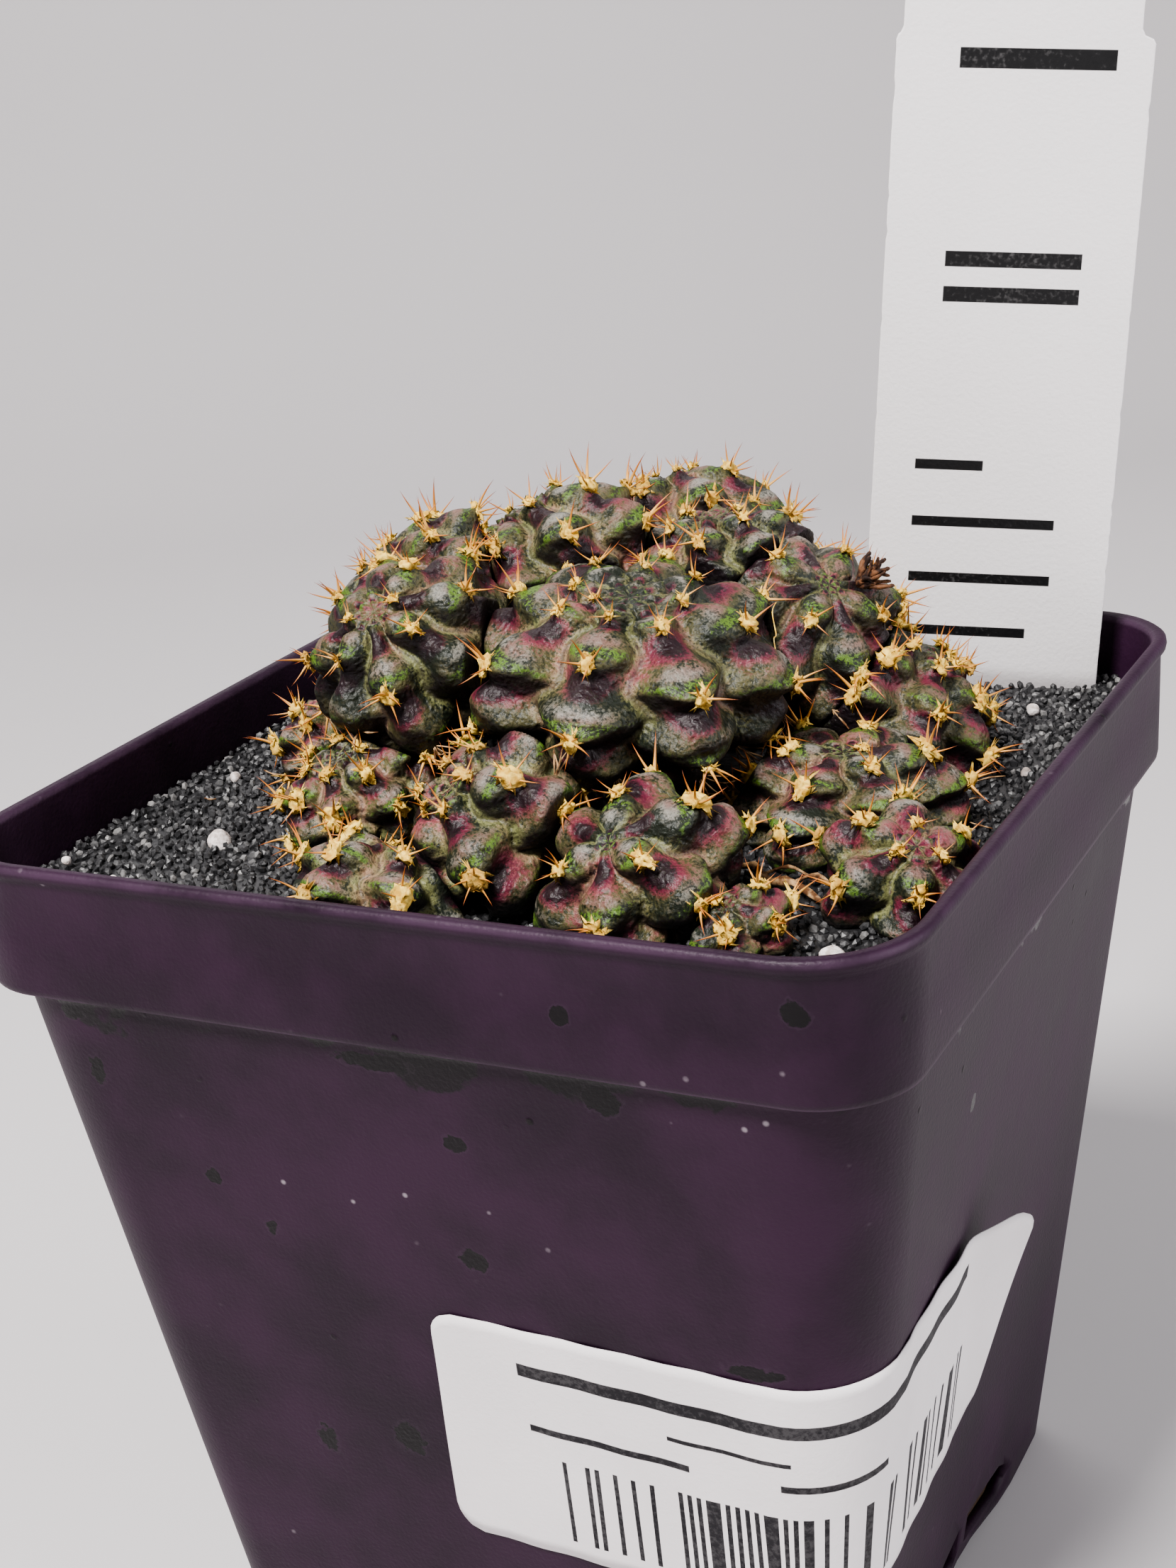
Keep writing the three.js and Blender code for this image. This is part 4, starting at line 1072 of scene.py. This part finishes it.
wool, place, shader = new_finish("areole wool", Specular_IOR_Level=0.2, Roughness=0.9)
fluff = place.noise(1400, 3)
patch = place.noise(130, 2)
colour = place.mix(fluff.ramp(0.3, 0.7), (0.52, 0.30, 0.05), (0.90, 0.66, 0.18))
colour = layered(colour, (patch.ramp(0.48, 0.72) * 0.6, (0.42, 0.22, 0.07)))
feed(shader, Base_Color=colour, height=(fluff, 0.0002))


def mottled(name, noise, steps, first, second, bump, **constants):
    """A finish of two colours in patches, and the patches stand out a little."""
    finish, place, shader = new_finish(name, **constants)
    patches = place.noise(*noise)
    feed(shader, Base_Color=place.mix(patches.ramp(*steps), first, second), height=(patches, bump))
    return finish


UMBER, TAN = (0.10, 0.045, 0.02), (0.50, 0.32, 0.17)
CHAR, RUSSET = (0.018, 0.008, 0.006), (0.17, 0.075, 0.035)
dry = mottled(
    "dry root", (900, 4), (0.38, 0.62), UMBER, TAN, 0.0002, Specular_IOR_Level=0.2, Roughness=0.85
)
petal = mottled(
    "dried flower", (1100, 4), (0.42, 0.66), CHAR, RUSSET, 0.0003, Specular_IOR_Level=0.3, Roughness=0.7
)


def point_cloud(name, points, finish, **attributes):
    """A mesh of loose points in millimetres with an attribute for each list given."""
    cloud = add_piece(name, points, [], finish)
    for label, values in attributes.items():
        add_attribute(cloud, label, values)
    return cloud


def rounded_line(points):
    """A curve through the points, four steps to a stretch."""
    line = [Vector(p) for p in points]
    fine = []
    for i in range(len(line) - 1):
        before, after = line[max(i - 1, 0)], line[min(i + 2, len(line) - 1)]
        a, b = line[i], line[i + 1]
        in_way, out_way = (b - before) / 2, (after - a) / 2
        for step in range(4):
            t = step / 4
            fine.append(
                a * (2 * t**3 - 3 * t**2 + 1)
                + in_way * (t**3 - 2 * t**2 + t)
                + b * (3 * t**2 - 2 * t**3)
                + out_way * (t**3 - t**2)
            )
    fine.append(line[-1])
    return fine


def thread(points, thick, finish, sides=6):
    """A thin round thread through points in millimetres, pointed at both ends."""
    fine = rounded_line(points)
    points = []
    side = Vector((0.3, 0.4, 0.87))
    for number, spot in enumerate(fine):
        way = (fine[min(number + 1, len(fine) - 1)] - fine[max(number - 1, 0)]).normalized()
        side = (side - way * side.dot(way)).normalized()
        other = way.cross(side)
        share = number / (len(fine) - 1)
        half = thick / 2 * (0.12 + 0.88 * math.sin(math.pi * min(1, 0.06 + share * 0.9)) ** 0.5)
        half *= 1 + 0.25 * math.sin(number * 1.9)
        for k in range(sides):
            angle = 2 * math.pi * k / sides
            points.append(spot + (side * math.cos(angle) + other * math.sin(angle)) * half)
    return add_piece("thread", points, tube_faces(len(fine), sides), finish)


# In metres: how near another head has to be to matter, what a spine stays clear of a skin by,
# how far along its own start isn't looked at, and half the pot's clear width
HEAD_NEAR, SPINE_CLEAR, OWN_SKIN, POT_CLEAR_HALF = 0.035, 0.0006, 0.0012, 0.0455
AREOLE_SEED = 611
walls = {}
for name, head in heads.items():
    walls[name] = BVHTree.FromObject(head, bpy.context.evaluated_depsgraph_get())
chance = random.Random(AREOLE_SEED)


def free_length(own, start, aim, length):
    """How far a spine can grow before it meets another head, the grit or the pot."""
    for other, wall in walls.items():
        if other == own or (Vector(HEADS[other][0]) * MM - start).length > HEAD_NEAR:
            continue
        hit = wall.ray_cast(start, aim, length + SPINE_CLEAR)
        if hit[0] is not None:
            length = min(length, hit[3] - SPINE_CLEAR)
    hit = walls[own].ray_cast(start + aim * OWN_SKIN, aim, length)
    if hit[0] is not None:
        length = min(length, hit[3] + SPINE_CLEAR)
    tip = start + aim * length
    lowest = (SAND_Z + 0.5) * MM
    if tip.z < lowest:
        length *= max(0, (start.z - lowest) / (start.z - tip.z))
    if max(abs(tip.x), abs(tip.y)) > POT_CLEAR_HALF:
        length = 0
    return length


def burst(wall, near, count, long, thick, finish):
    """Dry threads that spread from the spot on the skin nearest to a place."""
    spot, normal, *_ = wall.find_nearest(Vector(near) * MM)
    spot /= MM
    threads = []
    for _ in range(count):
        stray = Vector([chance.uniform(-1, 1) for _ in range(3)])
        way = (normal + stray * 0.9).normalized() * long * chance.uniform(0.55, 1)
        bend = Vector([chance.uniform(-1, 1) for _ in range(3)]) * long * 0.12
        line = [spot - normal * 0.3, spot + way * 0.5 + bend, spot + way]
        threads.append(thread(line, thick * chance.uniform(0.7, 1.2), finish, sides=5))
    return threads


# How far round each spine of an areole stands, in degrees, and its share of the full length
FAN = [(28, 1.0), (-30, 0.95), (88, 0.85), (-92, 0.85), (178, 0.7), (0, 0.6)]
CENTRAL_SPINE = 5
SPINE_STRAY, SPINE_OUT = 16, (38, 66)  # degrees round the areole, and out from its normal
SHORTEST_SPINE, SPINE_LENGTH = 1.2, (2.9, 4.3)
SPINE_THICKNESS, SPINE_CURVE = 0.052, 0.16  # in lengths
GROWN_ANGLE, TUFT_SHAPE = 45, (1.3, 0.85, 0.6)  # areoles nearer to the crown are young and small
WITHERED = {
    "stem_front": [(17.5, -14.5, 98.8), (19.5, -8, 98.2), (13, -21, 99.5), (0.5, -21, 100)],
    "stem_right": [(20.6, -1.2, 100), (27, 1, 99)],
    "stem_left": [(-6.2, -21.8, 102.5), (-14, -24, 101)],
    "offset_right": [(21.2, -6.1, 98.6), (19.5, -9, 95)],
    "offset_front_left": [(8.9, -26.1, 103)],
}
DRIED_FLOWER = (25.6, 9.5, 111.3)
FIBRE = [(20.0, 0.2, 111.4), (20.3, -1.6, 110.9), (21.4, -3.6, 109.4)]
FIBRE += [(22.0, -5.6, 109.6), (23.2, -8.0, 108.7)]
for name, head in heads.items():
    spine_starts, aims, leans, lengths = [], [], [], []
    pads, pad_aims, pad_leans, pad_spreads = [], [], [], []
    for at, normal, crownward, degrees in areoles[name]:
        at, normal, crownward = Vector(at), Vector(normal), Vector(crownward)
        up = (crownward - normal * crownward.dot(normal)).normalized()
        aside = normal.cross(up)
        young = 0.40 + 0.60 * min(1, degrees / GROWN_ANGLE)
        grown_size = (0.75 + 0.25 * min(1, HEADS[name][1] / 11)) * young
        wide = chance.uniform(0.85, 1.2) * grown_size * (1.0 if name.startswith("stem") else 1.25)
        pads.append(at + normal * 0.05)
        pad_aims.append(normal)
        pad_leans.append(up)
        pad_spreads.append([wide * share for share in TUFT_SHAPE])
        for number, (around, share) in enumerate(FAN):
            if number == CENTRAL_SPINE and chance.random() < 0.6 or chance.random() < 0.1:
                continue
            around = math.radians(around + chance.uniform(-SPINE_STRAY, SPINE_STRAY))
            out = math.radians(chance.uniform(*SPINE_OUT))
            flat = up * math.cos(around) + aside * math.sin(around)
            start = (at + normal * 0.1 + flat * 0.3) * MM
            for _ in range(4):
                aim = (normal * math.cos(out) + flat * math.sin(out)).normalized()
                wanted = share * grown_size * chance.uniform(*SPINE_LENGTH)
                length = free_length(name, start, aim, wanted * MM) / MM
                if length > 0.8 * wanted:
                    break
                out *= 0.6
            if length < SHORTEST_SPINE:
                continue
            spine_starts.append(start / MM)
            aims.append(aim)
            leans.append((normal - aim * aim.dot(normal)).normalized() * -1)
            lengths.append(length * MM)
    if not pads:
        continue
    spines = point_cloud("spines", spine_starts, thorn, aim=aims, lean=leans, long=lengths)
    grow(spines, spine_tree, Thickness=SPINE_THICKNESS, Curve=SPINE_CURVE, Spine=thorn)
    tufts = point_cloud("tufts", pads, wool, aim=pad_aims, lean=pad_leans, spread=pad_spreads)
    grow(tufts, wool_tree, Width=1.5 * MM, Fibre=0.8 * MM, Fibres=16, Seed=len(pads), Wool=wool)
    joined = [head, taken_plain(spines), taken_plain(tufts)]
    for near in WITHERED.get(name, []):
        joined += burst(walls[name], near, count=6, long=3.4, thick=0.17, finish=dry)
    if name == "stem_right":
        joined += burst(walls[name], DRIED_FLOWER, count=22, long=3.9, thick=0.6, finish=petal)
    if name == "stem_front":
        joined.append(thread(FIBRE, 0.12, wool))
    with bpy.context.temp_override(active_object=head, selected_editable_objects=joined):
        bpy.ops.object.join()
for name, head in heads.items():
    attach(head, "root")
    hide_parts(name)
    next(p["material_slot"] for p in frame["record"]["subparts"] if p["node"] == name)


# Grit. Coarse black sand with grey and glassy grains covers the mix to just under the rim. The
# grains on top lie loose, one by one, with lumps of white perlite, a dry root and bits of peat.
GRIT_SEED, GRIT_STEPS, GRIT_HALF, GRIT_CORNER = 48, 64, 45.75, 9.2
GRIT_BOTTOM, GRIT_TAPER = 80.3, 0.955
BEDDED = 0.55  # how far the bed lies under the tops of its loose grains
GRAIN_COLOURS = [
    (0.0, (0.006, 0.006, 0.007)),
    (0.55, (0.018, 0.018, 0.020)),
    (0.80, (0.060, 0.060, 0.062)),
    (0.92, (0.17, 0.17, 0.17)),
    (1.0, (0.42, 0.41, 0.40)),
]
# Perlite lumps: x, y, z and radius
PERLITE = [(29, -39.8, 91.6, 1.6), (8.3, -41.2, 91.1, 1.0), (37.5, -33.5, 91.2, 1.2)]
PERLITE += [(-31, -24, 91.2, 1.3), (-40, -8, 91.5, 0.6), (-12, -42.5, 91.6, 0.6), (36, 30, 91.6, 0.7)]
PERLITE += [(-43, -33, 91.6, 0.5), (40.5, 12, 91.5, 0.55), (31, 24, 91.4, 0.5), (-35, -36, 91.5, 0.45)]
grit_finish, place, shader = new_finish("black grit", Specular_IOR_Level=0.6)
rough_face = place.noise(1500, 3)
colour = place.add("ShaderNodeValToRGB", {0: place.attribute("tint")}, stops=GRAIN_COLOURS)
colour = layered(colour, (rough_face, (0.03, 0.03, 0.032)))
feed(shader, Base_Color=colour, Roughness=0.28 + 0.4 * rough_face, height=(rough_face, 0.0001))

waves = random.Random(GRIT_SEED)
swells = [(waves.uniform(-0.25, 0.25), waves.uniform(-0.25, 0.25), waves.uniform(0, 6.3)) for _ in range(9)]
points = []
straight = GRIT_HALF - GRIT_CORNER
for i in range(GRIT_STEPS + 1):
    for j in range(GRIT_STEPS + 1):
        x = GRIT_HALF * (2 * i / GRIT_STEPS - 1)
        y = GRIT_HALF * (2 * j / GRIT_STEPS - 1)
        out = Vector((max(0, abs(x) - straight), max(0, abs(y) - straight)))
        if out.length > GRIT_CORNER:
            out = out.normalized() * GRIT_CORNER
            x = math.copysign(straight + out.x, x)
            y = math.copysign(straight + out.y, y)
        z = SAND_Z - BEDDED + 0.09 * sum(math.sin(a * x + b * y + c) for a, b, c in swells)
        points.append((x, y, z))
faces = grid_faces(GRIT_STEPS + 1, GRIT_STEPS + 1)
rim = grid_edge(GRIT_STEPS + 1, GRIT_STEPS + 1)
skirt = len(points)
points += [(points[i][0] * GRIT_TAPER, points[i][1] * GRIT_TAPER, GRIT_BOTTOM) for i in rim]
for i in range(len(rim)):
    j = (i + 1) % len(rim)
    faces.append((rim[i], skirt + i, skirt + j, rim[j]))
faces.append(tuple(range(skirt + len(rim) - 1, skirt - 1, -1)))
grit = add_piece("black_grit", points, faces, grit_finish)


def open_sky(x, y):
    """0 under the middle of a head, where no grain is seen, and 1 elsewhere. Low heads, which
    sit on the grit, hide more of it."""
    for middle, radius, *_ in HEADS.values():
        share = 0.55 if middle[2] < 100 else 0.3
        if (Vector((x, y)) - Vector(middle[:2])).length < radius * share:
            return 0.0
    return 1.0


add_attribute(grit, "open", [open_sky(x, y) for x, y, _ in points[:skirt]] + [0.0] * len(rim))

ANY_TURN = (0, 0, 0), (6.28, 6.28, 6.28)
CHIP_SHAPE = (0.6, 0.6, 0.5), (1.35, 1.2, 1.0)
grit_tree, geometry, size = new_modifier_tree(
    "loose grains", Grain="Float", Apart="Float", Seed="Int", Grit="Material"
)
chip = geometry.add("GeometryNodeMeshIcoSphere", {"Radius": size["Grain"] * 0.5, "Subdivisions": 1})
spots = geometry.add(
    "GeometryNodeDistributePointsOnFaces",
    {
        "Mesh": geometry,
        "Distance Min": size["Apart"],
        "Density Max": 6.0e6,
        "Density Factor": stored(geometry, "open"),
        "Seed": size["Seed"],
    },
    distribute_method="POISSON",
)
spin, stretch = random_value(geometry, *ANY_TURN, seed=2), random_value(geometry, *CHIP_SHAPE, seed=3)
grains = instances(spots, chip, spin, stretch)
sockets = {0: grains, "Name": "tint", "Value": random_value(geometry, 0.0, 1.0, seed=4)}
grains = grains.add("GeometryNodeStoreNamedAttribute", sockets, domain="INSTANCE")
lift = geometry.add("ShaderNodeCombineXYZ", {2: random_value(geometry, -0.0001, 0.0004, seed=5)})
sockets = {0: grains, "Translation": lift, "Local Space": False}
grains = grains.add("GeometryNodeTranslateInstances", sockets).realized()
end_tree(grit_tree, put_together(geometry, grains), size["Grit"], smooth=False)
grow(grit, grit_tree, Grain=0.98 * MM, Apart=0.75 * MM, Seed=GRIT_SEED, Grit=grit_finish)
taken_plain(grit)

perlite_tree, geometry, size = new_modifier_tree(
    "perlite lumps", Unevenness="Float", Pore="Float", Seed="Float", Perlite="Material"
)
lump = geometry.add("GeometryNodeMeshIcoSphere", {"Radius": 1.0, "Subdivisions": 3})
spin = random_value(geometry, *ANY_TURN, seed=6)
lumps = instances(geometry, lump, spin, stored(geometry, "radius")).realized()
moved = geometry.add("GeometryNodeInputPosition").vector("ADD", size["Seed"])
reach = (moved.noise(700.0, 1.0) - 0.5) * size["Unevenness"]
reach = reach - (1 - moved.cells(3000.0).ramp(0.0, 0.5)) * size["Pore"]
lumps = shifted_by(lumps, geometry.add("GeometryNodeInputNormal").vector("SCALE", reach))
end_tree(perlite_tree, lumps, size["Perlite"])

CHALK, SOILED = (0.84, 0.78, 0.76), (0.42, 0.36, 0.33)
perlite = mottled(
    "perlite", (700, 5, 0.7), (0.42, 0.62), CHALK, SOILED, 0.0002, Specular_IOR_Level=0.3, Roughness=0.85
)
radii = [radius * MM for *_, radius in PERLITE]
crumbs = point_cloud("perlite_lumps", [at for *at, _ in PERLITE], perlite, radius=radii)
grow(crumbs, perlite_tree, Unevenness=0.7 * MM, Pore=0.12 * MM, Seed=0.3, Perlite=perlite)
taken_plain(crumbs)

# The dry root lies in the gap between the right offsets, with two side roots.
ROOT_LINE = [(22.4, -19.0, 92.0), (25.0, -20.4, 93.0), (27.1, -22.4, 92.6)]
ROOT_LINE += [(29.7, -22.7, 92.8), (33.5, -24.8, 92.0)]
PEAT_BITS, PEAT_Z, PEAT_LENGTH, PEAT_THICK = 26, 91.75, (1.2, 3.4), (0.12, 0.3)
litter = [
    thread(ROOT_LINE, 0.9, dry),
    thread([(26.3, -21.8, 92.8), (28.3, -20.2, 93.2), (30.6, -20.4, 92.4)], 0.35, dry),
    thread([(29.7, -22.7, 92.8), (31.6, -21.6, 93.3), (34.0, -22.6, 92.3)], 0.4, dry),
]
bits = random.Random(GRIT_SEED + 1)
for _ in range(PEAT_BITS):
    angle, reach = bits.uniform(0, 2 * math.pi), bits.uniform(30, 42)
    middle = Vector((reach * math.cos(angle), reach * math.sin(angle), PEAT_Z))
    long = bits.uniform(*PEAT_LENGTH)
    turn = bits.uniform(0, math.pi)
    end = Vector((math.cos(turn), math.sin(turn), bits.uniform(-0.1, 0.2))) * long / 2
    bend = Vector((-end.y, end.x, 0.5)) * bits.uniform(-0.3, 0.3)
    line = [middle - end, middle + bend, middle + end]
    litter.append(thread(line, bits.uniform(*PEAT_THICK), dry, sides=4))
joined = [grit, crumbs, *litter]
with bpy.context.temp_override(active_object=grit, selected_editable_objects=joined):
    bpy.ops.object.join()
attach(grit, "root")
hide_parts("sand_top_dressing")


# Floor and light. A plain pale sheet that curves up behind the pot, with a large soft light
# above and in front, a weaker one from the right, one from behind and a pale surround.
SWEEP_START, SWEEP_RADIUS, SWEEP_TOP, SWEEP_STEPS, SHEET_HALF = 500, 260, 1100, 16, 900
AWAY, ASIDE = Vector((-0.4715, 0.8819, 0)), Vector((0.8819, 0.4715, 0))  # as the camera looks
floor_finish, place, shader = new_finish("pale floor", Roughness=0.6)
feed(shader, Base_Color=place.mix(place.noise(6.0), (0.60, 0.58, 0.59), (0.64, 0.62, 0.63)))
profile = [(-SHEET_HALF, 0), (SWEEP_START, 0)]
for step in range(1, SWEEP_STEPS + 1):
    angle = math.radians(90 * step / SWEEP_STEPS)
    profile.append((SWEEP_START + SWEEP_RADIUS * math.sin(angle), SWEEP_RADIUS * (1 - math.cos(angle))))
profile.append((SWEEP_START + SWEEP_RADIUS, SWEEP_TOP))
points = [AWAY * t + ASIDE * s + Vector((0, 0, z)) for s in (-SHEET_HALF, SHEET_HALF) for t, z in profile]
floor = add_piece("floor", points, grid_faces(2, len(profile)), floor_finish)


def add_light(name, at, towards, power, across, colour):
    light = bpy.data.lights.new(name, "AREA")
    light.energy = power
    light.size = across
    light.color = colour
    lamp = bpy.data.objects.new(name, light)
    lamp.location = at
    lamp.rotation_euler = (Vector(towards) - Vector(at)).to_track_quat("-Z", "Y").to_euler()
    bpy.context.scene.collection.objects.link(lamp)


add_light("key", (-0.05, -0.45, 0.70), (0, 0, 0.1), 12, 0.2, (1.0, 0.97, 0.95))
add_light("side", (0.7, 0.1, 0.35), (0, 0, 0.08), 3.5, 0.5, (0.98, 0.97, 1.0))
add_light("back", (-0.5, 0.6, 0.6), (0, 0, 0.1), 3, 0.5, (1, 1, 1))
world = bpy.data.worlds.new("surround")
world.use_nodes = True
background = world.node_tree.nodes["Background"]
background.inputs["Color"].default_value = (0.9, 0.88, 0.9, 1)
background.inputs["Strength"].default_value = 0.25
bpy.context.scene.world = world
bpy.context.scene.view_settings.look = "AgX - Medium High Contrast"
